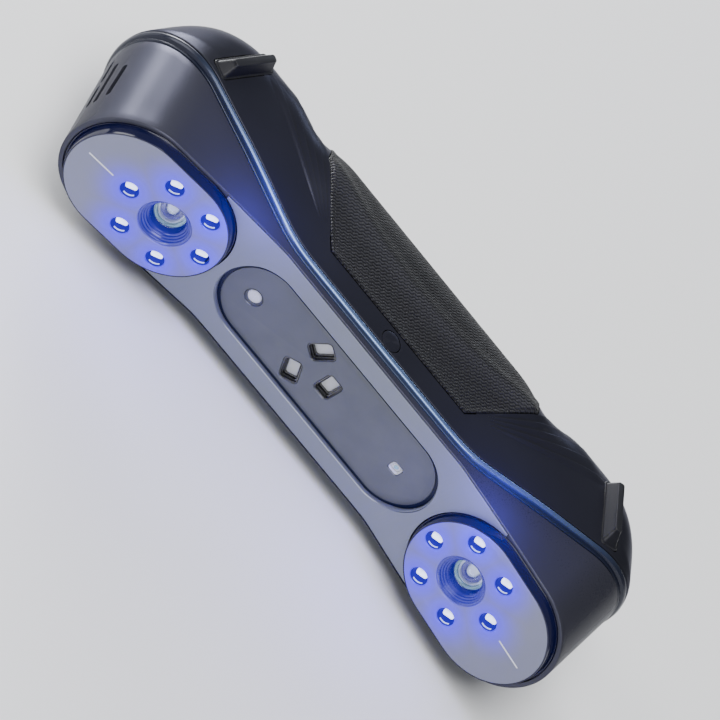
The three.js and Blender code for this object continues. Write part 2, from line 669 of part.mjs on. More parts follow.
// One end of the bench: the camera's seat, its link to the middle, and the bar that holds the screws.
function benchArm(side) {
  const head = headMatrix(side);
  const at = (x, z) => {
    const point = new THREE.Vector3(x, 0, z).applyMatrix4(head);
    return [point.x, point.y];
  };
  const seatBack = BENCH_SEAT - SEAT_THICK;
  const root = side * BENCH_END;
  const link = [
    at(1 - SEAT_HALF, BENCH_SEAT),
    at(1 - SEAT_HALF, seatBack),
    [root, BENCH_Y + BENCH_THICK],
    [root, BENCH_Y],
  ];
  const web = [
    at(WEB_FROM, BENCH_SEAT - 1),
    at(WEB_TO, BENCH_SEAT - 1),
    [side * WEB_FAR, WEB_DEPTH],
    [side * WEB_NEAR, WEB_DEPTH],
  ];
  const bar = [FOOT_X - BAR_HALF, FOOT_X + BAR_HALF].map((x) => side * x).sort((a, b) => a - b);
  return box(-SEAT_HALF, SEAT_END, -SEAT_HALF, SEAT_HALF, seatBack, BENCH_SEAT, head)
    .add(prism(polygon(link), -BENCH_HALF, BENCH_HALF))
    .add(prism(polygon(web), -SEAT_THICK, SEAT_THICK))
    .add(box(...bar, BAR_FRONT, BOARD_Y - GAP, -BAR_REACH, BAR_REACH));
}

function mainBoard() {
  const back = BOARD_Y + BOARD_THICK;
  const board = box(2 - BOARD_END, BOARD_END, BOARD_Y, back, -BOARD_HALF, BOARD_HALF);
  const chip = ([x0, x1, z0, z1, tall]) => box(x0, x1, back - GAP, back + tall, z0, z1);
  return CHIPS.map(chip).reduce((all, one) => all.add(one), board);
}

function heatSink() {
  const bottom = BOARD_Y + BOARD_THICK + GAP;
  const span = [SINK.from, SINK.to];
  let sink = box(...span, bottom, bottom + SINK.base, -SINK.half, SINK.half);
  for (let i = 0; i < SINK.fins; i += 1) {
    const z = SINK.pitch * (i - (SINK.fins - 1) / 2);
    sink = sink.add(box(...span, bottom + SINK.base / 2, BOARD_Y + SINK.top, z - SINK.fin, z + SINK.fin));
  }
  return sink;
}

function usbReceptacle() {
  const front = PORT_FLOOR + 1;
  const back = front - RECEPTACLE.length;
  const place = alongX(PORT_Y, 0);
  const shell = prism(grown(RECEPTACLE, 0), back, front, place, 3);
  const mouth = prism(grown(RECEPTACLE, -RECEPTACLE.wall), back + 2, front + 1, place, 3);
  const tongue = box(back + 1, PORT_FLOOR, PORT_Y - GAP, PORT_Y + GAP, -RECEPTACLE.height, RECEPTACLE.height);
  return shell.subtract(mouth).add(tongue);
}

// ---------------------------------------------------------------- keypad
function keypadPanel() {
  let panel = prism(keypadOutline(0), KEYPAD_FACE - KEYPAD_THICK, KEYPAD_FACE, onFace(0, 0));
  for (const { x, r } of BUTTONS) {
    panel = panel.subtract(rod(r + GAP, OUTSIDE / 2, OUTSIDE, onFace(x, 0), 20));
  }
  return panel.subtract(prism(grown(STATUS_SLOT, 0), OUTSIDE / 2, OUTSIDE, onFace(STATUS_X, 0), 2));
}

function button({ x, r }) {
  const flange = KEYPAD_FACE - KEYPAD_THICK - GAP;
  return rod(r, flange - GAP, BUTTON_FACE, onFace(x, 0), 20)
    .add(rod(r + KEY_FLANGE, flange - KEY_FLANGE, flange, onFace(x, 0), 20))
    .add(rod(r / 2, SWITCH_TOP + BUTTON_TRAVEL + 0.1, flange - GAP, onFace(x, 0), 8));
}

function buttonBoard() {
  let board = box(-18, 18, SWITCH_TOP - 2.6, SWITCH_TOP - 1.4, -5.2, 5.2);
  for (const { x } of BUTTONS) {
    board = board.add(box(x - 2, x + 2, SWITCH_TOP - 2, SWITCH_TOP, -2, 2));
  }
  return board;
}

const statusLight = () =>
  prism(grown(STATUS_SLOT, -GAP), SWITCH_TOP - 1, KEYPAD_FACE, onFace(STATUS_X, 0), 2);

// ---------------------------------------------------------------- tripod seat, feet and screws
const tripodInsert = () => turned([
  [INSERT_BORE_R, INSERT_LOW], [INSERT_R, INSERT_LOW], [INSERT_R, INSERT_HIGH], [INSERT_BORE_R, INSERT_HIGH],
], move(0, PLUG_Y, 0), 16);

const tripodPlug = () => rod(PLUG_R, REAR_WAIST - PLUG_CAP, REAR_WAIST, move(0, PLUG_Y, 0), 24)
  .add(rod(PLUG_STEM_R, REAR_WAIST - PLUG_DEPTH, REAR_WAIST - PLUG_CAP / 2, move(0, PLUG_Y, 0), 12));

// Rubber foot: a bar with slanted sides and a longer ramp at its front end.
function foot(side, up) {
  const [wide, narrow] = [FOOT_WIDTH / 2, FOOT_CREST / 2];
  const across = [[-wide, FOOT_BASE], [wide, FOOT_BASE], [narrow, FOOT_TOP], [-narrow, FOOT_TOP]];
  const along = [
    [-FOOT_LENGTH / 2, FOOT_BASE], [FOOT_LENGTH / 2, FOOT_BASE],
    [FOOT_LENGTH / 2 - 1.2, FOOT_TOP], [-FOOT_LENGTH / 2 + FOOT_RAMP, FOOT_TOP],
  ];
  const section = polygon(across.map(([x, z]) => [x, -up * z]));
  const flank = polygon(along.map(([y, z]) => [-up * z, y]));
  const place = footMatrix(side);
  const [low, high] = up > 0 ? [FOOT_BASE - 1, FOOT_BASE + 1.7] : [-FOOT_BASE - 1.7, 1 - FOOT_BASE];
  return prism(section, -20, 20, place.clone().multiply(onFace(0, 0)))
    .intersect(prism(flank, -20, 20, place.clone().multiply(alongX(0, 0))))
    .subtract(rod(SCREW_HEAD_R + GAP, low, high, place, 12));
}

function shellScrew(side, up) {
  const span = (a, b) => (up > 0 ? [a, b] : [-b, -a]);
  const place = footMatrix(side);
  return rod(SCREW_R, ...span(SCREW_TIP, FOOT_BASE + SCREW_HEAD / 2), place, 8)
    .add(rod(SCREW_HEAD_R, ...span(FOOT_BASE, FOOT_BASE + SCREW_HEAD), place, 12))
    .subtract(rod(SCREW_SOCKET_R, ...span(FOOT_BASE + SCREW_HEAD / 2, FOOT_TOP), place, 6));
}

// ---------------------------------------------------------------- assembly
addMesh('front_shell', frontShell(), frontFinish);
addMesh('front_plate', frontPlate(), plateFinish);
addMesh('seam_trim', seamTrim(), trimFinish);
addMesh('rear_shell', rearShell(), rearFinish);
addMesh('grip_sleeve', gripSleeve(), gripFinish);
addMesh('centre_panel', centrePanel(), panelFinish);

for (const [name, side] of [['left', -1], ['right', 1]]) {
  const head = headMatrix(side);
  addMesh(`window_bezel_${name}`, bezel(head), bezelFinish);
  addMesh(`window_cover_${name}`, windowCover(head), coverFinish);
  addMesh(`lens_barrel_${name}`, lensBarrel(head), blackFinish);
  addMesh(`front_lens_${name}`, frontLens(head), glassFinish);
  addMesh(`led_board_${name}`, ledBoard(head), boardFinish);
  addMesh(`image_sensor_${name}`, imageSensor(head), boardFinish);
  for (let i = 0; i < LED_COUNT; i += 1) {
    addMesh(`led_${name}_${i + 1}`, led(ledPlace(head, i)), ledFinish);
  }
  for (const [flank, up] of [['upper', 1], ['lower', -1]]) {
    addMesh(`rubber_foot_${name}_${flank}`, foot(side, up), rubberFinish);
    addMesh(`shell_screw_${name}_${flank}`, shellScrew(side, up), steelFinish);
  }
}

LASERS.forEach(({ x, z, turn }, i) => {
  const glass = prism(laserOutline(-GAP), LASER_WINDOW_FRONT, LASER_WINDOW_BACK, onFace(x, z, turn), 2);
  const barrel = rod(LASER_R, LASER_WINDOW_BACK + GAP, BENCH_Y - GAP, onFace(x, z), 14);
  addMesh(`laser_window_${i + 1}`, glass, emitterFinish);
  addMesh(`laser_module_${i + 1}`, barrel, brassFinish);
});
const discOutline = (grow) => stadium(-0.01, 0.01, PROJECTOR_R + grow);
addMesh('projector_window', panelWindow(discOutline, onFace(PROJECTOR_X, 0)), darkGlassFinish);
addMesh('pattern_projector', sensorBlock(PROJECTOR_X, PROJECTOR_HALF), blackFinish);
addMesh('colour_camera_window', panelWindow(colourOutline, onFace(COLOUR_X, 0)), darkGlassFinish);
addMesh('colour_camera', sensorBlock(COLOUR_X, COLOUR_CAMERA_HALF), blackFinish);

addMesh('optical_bench', opticalBench(), aluminiumFinish);
addMesh('main_board', mainBoard(), boardFinish);
addMesh('heat_sink', heatSink(), aluminiumFinish);
addMesh('usb_receptacle', usbReceptacle(), steelFinish);
addMesh('keypad_panel', keypadPanel(), blackFinish);
addMesh('button_board', buttonBoard(), boardFinish);
addMesh('status_light', statusLight(), statusFinish);
for (const spec of BUTTONS) {
  addMesh(spec.name, button(spec), rubberFinish);
}
addMesh('tripod_insert', tripodInsert(), brassFinish);
addMesh('tripod_plug', tripodPlug(), rubberFinish);

// The origin is at the middle of the underside, where the lower feet rest.
const frontmost = -(WINDOW_OUTER + WINDOW_R) * Math.sin(TOE_IN);
model.position.set(0, -(frontmost + BACK + GRIP_PROUD) / 2, FOOT_TOP);

export default model;
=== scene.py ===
# Looks for the handheld scanner: fine surfaces, procedural materials, studio light and camera.
import math

import bmesh
import bpy
import numpy as np
from mathutils import Matrix, Vector


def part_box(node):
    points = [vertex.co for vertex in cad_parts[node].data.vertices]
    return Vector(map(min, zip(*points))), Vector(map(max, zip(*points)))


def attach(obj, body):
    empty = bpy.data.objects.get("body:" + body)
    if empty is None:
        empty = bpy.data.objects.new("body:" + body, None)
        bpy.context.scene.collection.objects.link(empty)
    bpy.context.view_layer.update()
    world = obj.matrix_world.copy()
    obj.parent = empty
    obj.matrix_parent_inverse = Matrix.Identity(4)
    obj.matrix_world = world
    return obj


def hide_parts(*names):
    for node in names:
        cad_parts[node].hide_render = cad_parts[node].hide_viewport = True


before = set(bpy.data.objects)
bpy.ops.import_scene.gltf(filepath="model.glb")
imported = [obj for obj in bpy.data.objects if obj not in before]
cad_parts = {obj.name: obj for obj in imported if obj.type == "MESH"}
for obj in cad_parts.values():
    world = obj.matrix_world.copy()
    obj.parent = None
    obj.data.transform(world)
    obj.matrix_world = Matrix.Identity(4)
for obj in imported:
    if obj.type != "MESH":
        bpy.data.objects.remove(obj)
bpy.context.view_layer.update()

MM = 0.001

# ---- driving dimensions, millimetres
# The body is drawn with X along it, Y its depth from the window centres and Z from its middle plane.
KEYPAD_FACE = 66.5
FOOT_TOP = 26.4
DEPTH_SHIFT = KEYPAD_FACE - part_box("keypad_panel")[1][1] / MM

GAP = 0.3
FRONT_WAIST, REAR_WAIST = 20.4, 21.1
HEAD_HALF, SEAM_HALF, REAR_HALF = 21.1, 22.3, 23.0
FLARE_FROM, FLARE_TO = 30, 68
HEAD_END, HALF_LENGTH = 101, 107.8
END_GROWTH, END_SLANT, END_SQUARENESS = 0.17, 0.45, 0.16
BACK, BACK_ROUND, END_DROP = 66.9, 22, 0.9
HOLLOW_AT, HOLLOW_DEPTH, HOLLOW_SPREAD = 51.6, 4.2, 8
FRONT_WALL, REAR_WALL, TRIM_WALL, TRIM_WIDTH = 1.8, 3.2, 3.0, 3.3
SEAM_WAIST, SEAM_BEND, SEAM_SLOPE, SEAM_SOFTNESS = 13.9, 39.3, 0.345, 5
PLATE_FRONT, PLATE_THICK, PLATE_END, RIM = 8.1, 1.6, 60.7, 0.4
PANEL_REACH, PANEL_HALF, PANEL_PAD_HALF = 42.9, 13.6, 12.5
PANEL_PAD_FRONT, PANEL_FRONT, PANEL_BACK = 9.2, 10.0, 11.2
CAMERA_X, TOE_IN = 64.8, math.radians(9.92)
WINDOW_R, WINDOW_INNER, WINDOW_OUTER = 18.95, 0.65, 14.05
HEAD_FACE, BEZEL_BASE, BEZEL_SPREAD = -3.4, -4.2, 0.95
COVER_THICK, LED_CIRCLE, LED_HOLE, LENS_HOLE, LED_COUNT = 1.2, 13.65, 2.8, 7.8, 6
BARREL_R, BARREL_END, COVER_INSET = 6.6, -19, 0.38
GRIP_FRONT, GRIP_CORNER, GRIP_REACH, GRIP_REACH_DEPTH = 22.3, 29.2, 47, 47
GRIP_PROUD, GRIP_INSET = 0.4, 1.2
CREST_AT, CREST_SWING, CREST_RISE = 39.0, 9.0, 1.1
KEYPAD_HALF_LENGTH, KEYPAD_R, KEYPAD_THICK = 20, 6.6, 1.8
BUTTON_FACE, STATUS_X, SWITCH_TOP, BUTTON_TRAVEL, DISH_DEPTH = 67.2, 17.2, 62.2, 0.5, 0.3
PORT_Y, PORT_FLOOR, PORT_WIDTH, PORT_HEIGHT, PORT_CORNER = 48.7, 97.4, 14, 8, 1.6
PLUG_Y, PLUG_R, PLUG_DEPTH = 17.6, 3.3, 6.5
FOOT_X, FOOT_Y, FOOT_TURN = 82.2, 42.1, math.radians(25.4)
FOOT_WIDTH, FOOT_LENGTH, FOOT_CREST, FOOT_RAMP, FOOT_BASE = 6.3, 21.9, 2.2, 3.6, 22.0
PROJECTOR_X, PROJECTOR_R, COLOUR_X, LASER_WINDOW = -32.6, 2.75, 29.8, 11.5
LASERS = [(0, 0, 0), (-9.4, 6.3, -math.pi / 6), (-9.7, -6.5, math.pi / 6)]
VENTS = [(17, 9, 22.5), (6, 7.5, 25), (-3, 19, 28.5), (-3, 7.5, 17)]
VENT_CENTRE, VENT_HALF = 82, 0.8
LASER_SIZE, COLOUR_SIZE, STATUS_SIZE = (5.7, 7.9, 1.4), (3.9, 3.4, 0.9), (1.8, 4.4, 0.85)
# Each key's name, place along the keypad, radius, and the width and height of each bar of its sign.
KEYS = [("scan", 0, 4.3, [(3.0, 0.6)]), ("plus", 11.5, 3.0, [(2.4, 0.5), (0.5, 2.4)]),
        ("minus", -11.5, 3.0, [(2.4, 0.5)])]
SIDES = {"left": -1, "right": 1}
FLANKS = {"upper": 1, "lower": -1}


# ---- meshes
def to_frame(points):
    """Body millimetres to the frame's metres."""
    return (np.asarray(points, float) + (0, -DEPTH_SHIFT, FOOT_TOP)) * MM


def transformed(points, matrix):
    points = np.asarray(points, float)
    m = np.array(matrix)
    return points @ m[:3, :3].T + m[:3, 3]


def make_piece(name, points, faces, material=None, sharp=32):
    """A mesh object from body points, with its faces turned outwards and smooth below an angle."""
    mesh = bpy.data.meshes.new(name)
    mesh.from_pydata([tuple(p) for p in to_frame(points)], [], faces)
    piece = bpy.data.objects.new(name, mesh)
    bpy.context.scene.collection.objects.link(piece)
    bm = bmesh.new()
    bm.from_mesh(mesh)
    bmesh.ops.recalc_face_normals(bm, faces=bm.faces)
    bm.to_mesh(mesh)
    bm.free()
    smooth(piece, sharp)
    if material:
        mesh.materials.append(material)
    return piece


def smooth(piece, sharp=32):
    piece.data.polygons.foreach_set("use_smooth", [True] * len(piece.data.polygons))
    piece.data.set_sharp_from_angle(angle=math.radians(sharp))


def cut(piece, *cutters, operation="DIFFERENCE", sharp=32):
    """Applies boolean cutters to a piece and removes them."""
    for cutter in cutters:
        modifier = piece.modifiers.new("cut", "BOOLEAN")
        modifier.operation = operation
        modifier.solver = "EXACT"
        modifier.object = cutter
        graph = bpy.context.evaluated_depsgraph_get()
        mesh = bpy.data.meshes.new_from_object(piece.evaluated_get(graph))
        piece.modifiers.clear()
        old = piece.data
        piece.data = mesh
        bpy.data.meshes.remove(old)
        bpy.data.objects.remove(cutter)
    piece.data.name = piece.name
    smooth(piece, sharp)
    return piece


def finish_piece(piece, slot, *nodes, body="body"):
    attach(piece, body)
    if nodes:
        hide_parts(*nodes)
    return piece


def loft_faces(rings, count, wrap=False, ladder=False):
    """Quads between rings; the ends are joined, laddered across the body, or filled as one face."""
    faces = []
    last = rings if wrap else rings - 1
    for r in range(last):
        a, b = r * count, (r + 1) % rings * count
        faces += [(a + i, a + (i + 1) % count, b + (i + 1) % count, b + i) for i in range(count)]
    if wrap:
        return faces
    for start in (0, (rings - 1) * count):
        if ladder:
            apex = ARC_STEPS // 2
            at = lambda i: start + (apex + i) % count
            faces += [tuple(dict.fromkeys((at(i), at(i + 1), at(-i - 1), at(-i)))) for i in range(count // 2)]
        else:
            faces.append(tuple(start + i for i in range(count)))
    return faces


# ---- outlines and stacks
def sweep(start, stop, count):
    """Angles in radians between two angles in degrees."""
    return np.radians(np.linspace(start, stop, count))


def arc(cx, cy, r, start, stop, steps):
    angles = np.linspace(start, stop, steps + 1)
    return np.column_stack([cx + r * np.cos(angles), cy + r * np.sin(angles)])


def stadium(x0, x1, r, steps=40):
    half = math.pi / 2
    return np.vstack([arc(x1, 0, r, -half, half, steps), arc(x0, 0, r, half, 3 * half, steps)])


def round_corners(corners, r, steps):
    """Outline with rounded corners, given from the lower right and against the clock."""
    quarter = math.pi / 2
    arcs = [arc(x, y, r, (k - 1) * quarter, k * quarter, steps) for k, (x, y) in enumerate(corners)]
    return np.vstack(arcs)


def rounded_rect(width, height, r, steps=8):
    a, b = width / 2 - r, height / 2 - r
    return round_corners([(a, -b), (a, b), (-a, b), (-a, -b)], r, steps)


def rect_shape(width, height, corner, steps=6):
    return lambda grow: rounded_rect(width + 2 * grow, height + 2 * grow, corner + grow, steps)


def circle(r, steps=48):
    return arc(0, 0, r, 0, 2 * math.pi * (1 - 1 / steps), steps - 1)


def stack(name, outline, levels, matrix, material=None, wrap=False, sharp=32):
    """A solid through outline(grow) at each (grow, height) level, along local z of a matrix."""
    rings = []
    for grow, height in levels:
        flat = outline(grow)
        rings.append(np.column_stack([flat, np.full(len(flat), float(height))]))
    count = len(rings[0])
    points = transformed(np.vstack(rings), matrix)
    return make_piece(name, points, loft_faces(len(rings), count, wrap), material, sharp)


def edge(grow, height, radius, start, stop, steps=4):
    """Levels of a rounded edge whose corner would be at (grow, height)."""
    angles = sweep(start, stop, steps + 1)
    return [(grow + radius * math.cos(a), height + radius * math.sin(a)) for a in angles]


def slab(low, high, radius, grow=0):
    """Levels of a slab with both edges rounded."""
    inner = grow - radius
    return edge(inner, low + radius, radius, -90, 0) + edge(inner, high - radius, radius, 0, 90)


def dome(radius, base, rise, start, count):
    """Levels of a dome, from an angle off its axis, in degrees, to its top."""
    return [(radius * math.sin(a), base + rise * math.cos(a)) for a in sweep(start, 0, count)]


def build(name, outline, levels, matrix, material, slot, *nodes, wrap=False, body="body"):
    """A stack that is a finished piece."""
    return finish_piece(stack(name, outline, levels, matrix, material, wrap), slot, *nodes, body=body)


circle_of = lambda r: circle(max(r, 0.01))
window = lambda grow: stadium(WINDOW_INNER, WINDOW_OUTER, WINDOW_R + grow)
panel_shape = lambda r: stadium(PANEL_HALF - PANEL_REACH, PANEL_REACH - PANEL_HALF, r)
keypad_centre = KEYPAD_HALF_LENGTH - KEYPAD_R
keypad_shape = lambda grow: stadium(-keypad_centre, keypad_centre, KEYPAD_R + grow, 24)


def basis(x, y, z, origin=(0, 0, 0)):
    """Matrix whose columns are the given axes."""
    columns = [Vector(v) for v in (x, y, z)]
    matrix = Matrix(columns).transposed().to_4x4()
    matrix.translation = origin
    return matrix


def on_face(x, z, turn=0.0):
    """Local z along +Y, at a point of the panel or the back, turned in the XZ plane."""
    turned = Matrix.Rotation(-math.pi / 2, 4, "X") @ Matrix.Rotation(-turn, 4, "Z")
    return Matrix.Translation((x, 0, z)) @ turned


MIDDLE = on_face(0, 0)


def head_matrix(side):
    outward = (side * math.cos(TOE_IN), -math.sin(TOE_IN), 0)
    forward = Vector((-side * math.sin(TOE_IN), -math.cos(TOE_IN), 0))
    return basis(outward, forward.cross(Vector(outward)), forward, (side * CAMERA_X, 0, 0))


def foot_matrix(side, up):
    place = Matrix.Translation((side * FOOT_X, FOOT_Y, 0)) @ Matrix.Rotation(side * FOOT_TURN, 4, "Z")
    return place @ Matrix.Scale(up, 4, (0, 0, 1))


# ---- body envelope
ARC_STEPS = 56
FLANK_STEPS = 150
ease = lambda t: np.clip(t, 0, 1) ** 2 * (3 - 2 * np.clip(t, 0, 1))
flare = lambda x: ease((np.abs(x) - FLARE_FROM) / (FLARE_TO - FLARE_FROM))


def make_stations():
    """Stations round the body: (end, angle, share); the angle is NaN on the flanks."""
    stations = []
    for end in (1, -1):
        start = -math.pi / 2 if end > 0 else math.pi / 2
        stations += [(end, start + math.pi * i / ARC_STEPS, 0) for i in range(ARC_STEPS + 1)]
        stations += [(end, math.nan, end * (1 - 2 * i / FLANK_STEPS)) for i in range(1, FLANK_STEPS)]
    return np.array(stations)


STATIONS = make_stations()


def seam_depth(x):
    past = np.abs(x) - SEAM_BEND
    return SEAM_WAIST + SEAM_SLOPE * (past + np.hypot(past, SEAM_SOFTNESS)) / 2


def back_depth(x):
    away = (np.abs(x) - HOLLOW_AT) / HOLLOW_SPREAD
    return BACK - HOLLOW_DEPTH * np.exp(-away * away) - END_DROP * ease(away)


FOLD_X = CAMERA_X - (PLATE_FRONT + HEAD_FACE / math.cos(TOE_IN)) / math.tan(TOE_IN)
FOLD_SOFTNESS = 1.5


def face_depth(x):
    """Depth of the folded front face, a little soft at its folds."""
    past = np.abs(x) - FOLD_X
    return PLATE_FRONT - math.tan(TOE_IN) * (past + np.hypot(past, FOLD_SOFTNESS)) / 2


def front_size(y):
    return HEAD_HALF + np.maximum(0, y - 5) * (SEAM_HALF - HEAD_HALF) / 32, HEAD_END + END_GROWTH * y


def rear_size(y):
    return np.full_like(y, REAR_HALF), HALF_LENGTH - END_SLANT * np.maximum(0, y - seam_depth(HALF_LENGTH))


ENVELOPES = {"front": (front_size, FRONT_WAIST), "rear": (rear_size, REAR_WAIST)}


def ring(kind, depth_at, offset=0.0, share=1.0):
    """Points round an envelope at the depth depth_at(x), settled by repetition."""
    size, waist = ENVELOPES[kind]
    end, angle, along = STATIONS.T
    turning = ~np.isnan(angle)
    cos = np.where(turning, np.cos(angle), 0)
    sin = np.where(turning, np.sin(angle), 0)
    y = np.full(len(end), 30.0)
    for _ in range(8):
        half, reach = size(y)
        centre = reach - half
        x = np.where(turning, end * centre + (half - offset) * share ** END_SQUARENESS * cos, along * centre)
        y = depth_at(x) + np.zeros_like(x)
    width = waist + (half - waist) * flare(x)
    z = np.where(turning, (half - offset) * share * sin, end * (width - offset) * share)
    return np.column_stack([x, y, z])


def back_ring(angle, offset=0.0):
    depth = lambda x: back_depth(x) - BACK_ROUND + (BACK_ROUND - offset) * math.sin(angle)
    return ring("rear", depth, offset, math.cos(angle))


def loft(name, rings, material=None, wrap=False, sharp=32):
    points = np.vstack(rings)
    return make_piece(name, points, loft_faces(len(rings), len(STATIONS), wrap, ladder=True), material, sharp)


def block(x0, x1, y0, y1, z0, z1, matrix=Matrix.Identity(4)):
    """A plain box to cut with."""
    corners = [(x, y, z) for x in (x0, x1) for y in (y0, y1) for z in (z0, z1)]
    faces = [(0, 1, 3, 2), (4, 6, 7, 5), (0, 4, 5, 1), (2, 3, 7, 6), (0, 2, 6, 4), (1, 5, 7, 3)]
    return make_piece("cutter", transformed(corners, matrix), faces)


# ---- materials
class Nodes:
    """A short way to wire a material's nodes."""

    def __init__(self, name):
        self.material = bpy.data.materials.new(name)
        self.material.use_nodes = True
        self.tree = self.material.node_tree
        self.shader = self.tree.nodes["Principled BSDF"]

    def add(self, kind, inputs=None, **settings):
        node = self.tree.nodes.new("ShaderNode" + kind)
        for key, value in settings.items():
            setattr(node, key, value)
        for key, value in (inputs or {}).items():
            self.put(node.inputs[key], value)
        return node

    def put(self, socket, value):
        if isinstance(value, bpy.types.NodeSocket):
            self.tree.links.new(value, socket)
        else:
            socket.default_value = value

    def math(self, operation, *values):
        node = self.add("Math", operation=operation)
        for socket, value in zip(node.inputs, values):
            self.put(socket, value)
        return node.outputs[0]

    def mix(self, factor, a, b):
        node = self.add("Mix", data_type="RGBA")
        self.put(node.inputs[0], factor)
        self.put(node.inputs[6], a)
        self.put(node.inputs[7], b)
        return node.outputs[2]

    def spread(self, value, low, high, to_low, to_high):
        node = self.add("MapRange", {0: value, 1: low, 2: high, 3: to_low, 4: to_high})
        return node.outputs[0]

    def noise(self, scale, detail=3.0, stretch=(1, 1, 1)):
        where = self.add("TexCoord").outputs["Object"]
        mapping = self.add("Mapping", {"Vector": where, "Scale": stretch})
        inputs = {"Vector": mapping.outputs[0], "Scale": scale, "Detail": detail}
        return self.add("TexNoise", inputs).outputs["Fac"]

    def times(self, a, b):
        return self.math("MULTIPLY", a, b)

    def plus(self, a, b):
        return self.math("ADD", a, b)

    def length(self, x, y):
        return self.math("POWER", self.plus(self.times(x, x), self.times(y, y)), 0.5)

    def sway(self, noise, low, high):
        """Noise, stretched from the middle of its range to low and high."""
        return self.spread(noise, 0.3, 0.7, low, high)

    def mapped(self, name):
        """Both coordinates of one of a piece's own maps, in millimetres or shares."""
        return self.add("SeparateXYZ", {0: self.add("UVMap", uv_map=name).outputs[0]}).outputs[:2]

    def bump(self, strength, distance, height, **more):
        inputs = {"Strength": strength, "Distance": distance, "Height": height, **more}
        return self.add("Bump", inputs).outputs[0]

    def shade(self, name, value):
        self.put(self.shader.inputs[name], value)


GRAIN_DEPTH = 0.00003


def rgba(colour, level=1.0):
    return tuple(c * level for c in colour) + (1.0,)


def surface(name, colour, rough, metal=0.0, grain=3000, grain_bump=0.25, cloud=0.05, coat=0.0, wear=0.25,
            stretch=(1, 1, 1), rough_spread=0.08, **sockets):
    """A moulded, painted or machined finish: clouded colour, worn edges, uneven gloss and fine grain."""
    n = Nodes(name)
    soft = n.noise(26, 3)
    fine = n.noise(grain, 2, stretch)
    base = n.mix(n.sway(soft, 0, 1), rgba(colour, 1 - cloud), rgba(colour, 1 + cloud))
    edges = n.add("NewGeometry").outputs["Pointiness"]
    patches = n.spread(n.noise(150, 4), 0.35, 0.65, 0.3, 1)
    worn = n.times(n.spread(edges, 0.505, 0.56, 0, wear), patches)
    n.shade("Base Color", n.mix(worn, base, rgba([0.35 + 0.5 * c for c in colour])))
    uneven = n.plus(n.sway(soft, -rough_spread, rough_spread), n.sway(fine, -0.03, 0.03))
    n.shade("Roughness", n.plus(uneven, rough))
    n.shade("Metallic", metal)
    n.shade("Coat Weight", coat)
    n.shade("Coat Roughness", 0.08)
    for key, value in sockets.items():
        n.shade(key.replace("_", " "), value)
    n.shade("Normal", n.bump(grain_bump, GRAIN_DEPTH, fine))
    return n.material


def grip_weave():
    """Small offset tiles in chevron rows, from the grip's own lengthwise and round-the-body coordinates."""
    n = Nodes("grip_weave")
    along, around = n.mapped("grip")
    tile, rise, wave, lean = 2.1, 1.05, 0.2, math.radians(33)
    past_zero = 400  # keeps the counts of rows and columns positive
    outward = n.math("ABSOLUTE", around)
    inward = n.times(outward, -1)
    across_rows = n.math("SUBTRACT", n.times(inward, math.cos(lean)), n.times(along, math.sin(lean)))
    down_rows = n.plus(n.times(along, math.cos(lean)), n.times(inward, math.sin(lean)))
    ripple = n.times(n.math("SINE", n.times(down_rows, 2 * math.pi / tile)), wave)
    row = n.math("DIVIDE", n.plus(n.plus(across_rows, ripple), past_zero), rise)
    shift = n.times(n.math("MODULO", n.math("FLOOR", row), 2), 0.5)
    column = n.plus(n.math("DIVIDE", n.plus(down_rows, past_zero), tile), shift)
    across = n.math("ABSOLUTE", n.math("SUBTRACT", n.math("FRACT", column), 0.5))
    upright = n.math("FRACT", row)
    tile_sides = n.spread(across, 0.40, 0.5, 1, 0.35)
    tile_foot = n.spread(upright, 0.0, 0.30, 0, 1)
    tile_lip = n.spread(upright, 0.6, 1.0, 1, 0.35)
    height = n.times(n.times(tile_sides, tile_foot), tile_lip)
    soft = n.noise(60, 4)
    swing = n.times(n.times(along, along), CREST_SWING / GRIP_REACH ** 2)
    past = n.math("SUBTRACT", n.plus(outward, swing), CREST_AT)
    # Painted highlight: tiles in a band just past each crest are coloured lighter.
    crest_painted_highlight = n.times(n.spread(past, -0.8, 1.2, 0, 1), n.spread(past, 3, 9, 1, 0.35))
    bright = n.mix(crest_painted_highlight, rgba((0.0045, 0.0045, 0.0055)), rgba((0.022, 0.022, 0.026)))
    tone = n.mix(height, rgba((0.0012, 0.0012, 0.0018)), bright)
    n.shade("Base Color", n.mix(n.spread(soft, 0.35, 0.65, 0, 0.06), tone, rgba((0.012, 0.012, 0.014))))
    n.shade("Roughness", n.plus(n.spread(height, 0, 1, 0.85, 0.50), n.sway(soft, -0.05, 0.05)))
    n.shade("Specular IOR Level", 0.22)
    grain = n.bump(0.3, GRAIN_DEPTH, n.noise(5200, 2))
    n.shade("Normal", n.bump(0.9, 0.00032, height, Normal=grain))
    return n.material


def trim_material():
    """Brushed strip, steel blue along the waist's rear half, dark on its front half, and fading to dark round
    the ends in painted shade.
    """
    n = Nodes("trim_metal")
    along, share = n.mapped("trim")
    waist = n.spread(n.math("ABSOLUTE", along), 50, 97, 1, 0)
    rear_half = n.spread(share, 0.44, 0.56, 0.16, 1)
    brushed = n.noise(2400, 2, (0.08, 1, 1))
    blue = n.mix(n.sway(brushed, 0, 1), rgba((0.13, 0.20, 0.36)), rgba((0.17, 0.25, 0.42)))
    # Painted shade: the blue fades to dark round the ends; the dark front half is the strip's own second
    # tone.
    lit = n.times(n.math("POWER", waist, 1.4), rear_half)
    n.shade("Base Color", n.mix(lit, rgba((0.010, 0.012, 0.024)), blue))
    n.shade("Roughness", n.sway(brushed, 0.22, 0.27))
    n.shade("Metallic", n.spread(lit, 0, 1, 0.25, 0.8))
    n.shade("Specular IOR Level", 0.3)
    n.shade("Normal", n.bump(0.05, GRAIN_DEPTH, brushed))
    return n.material


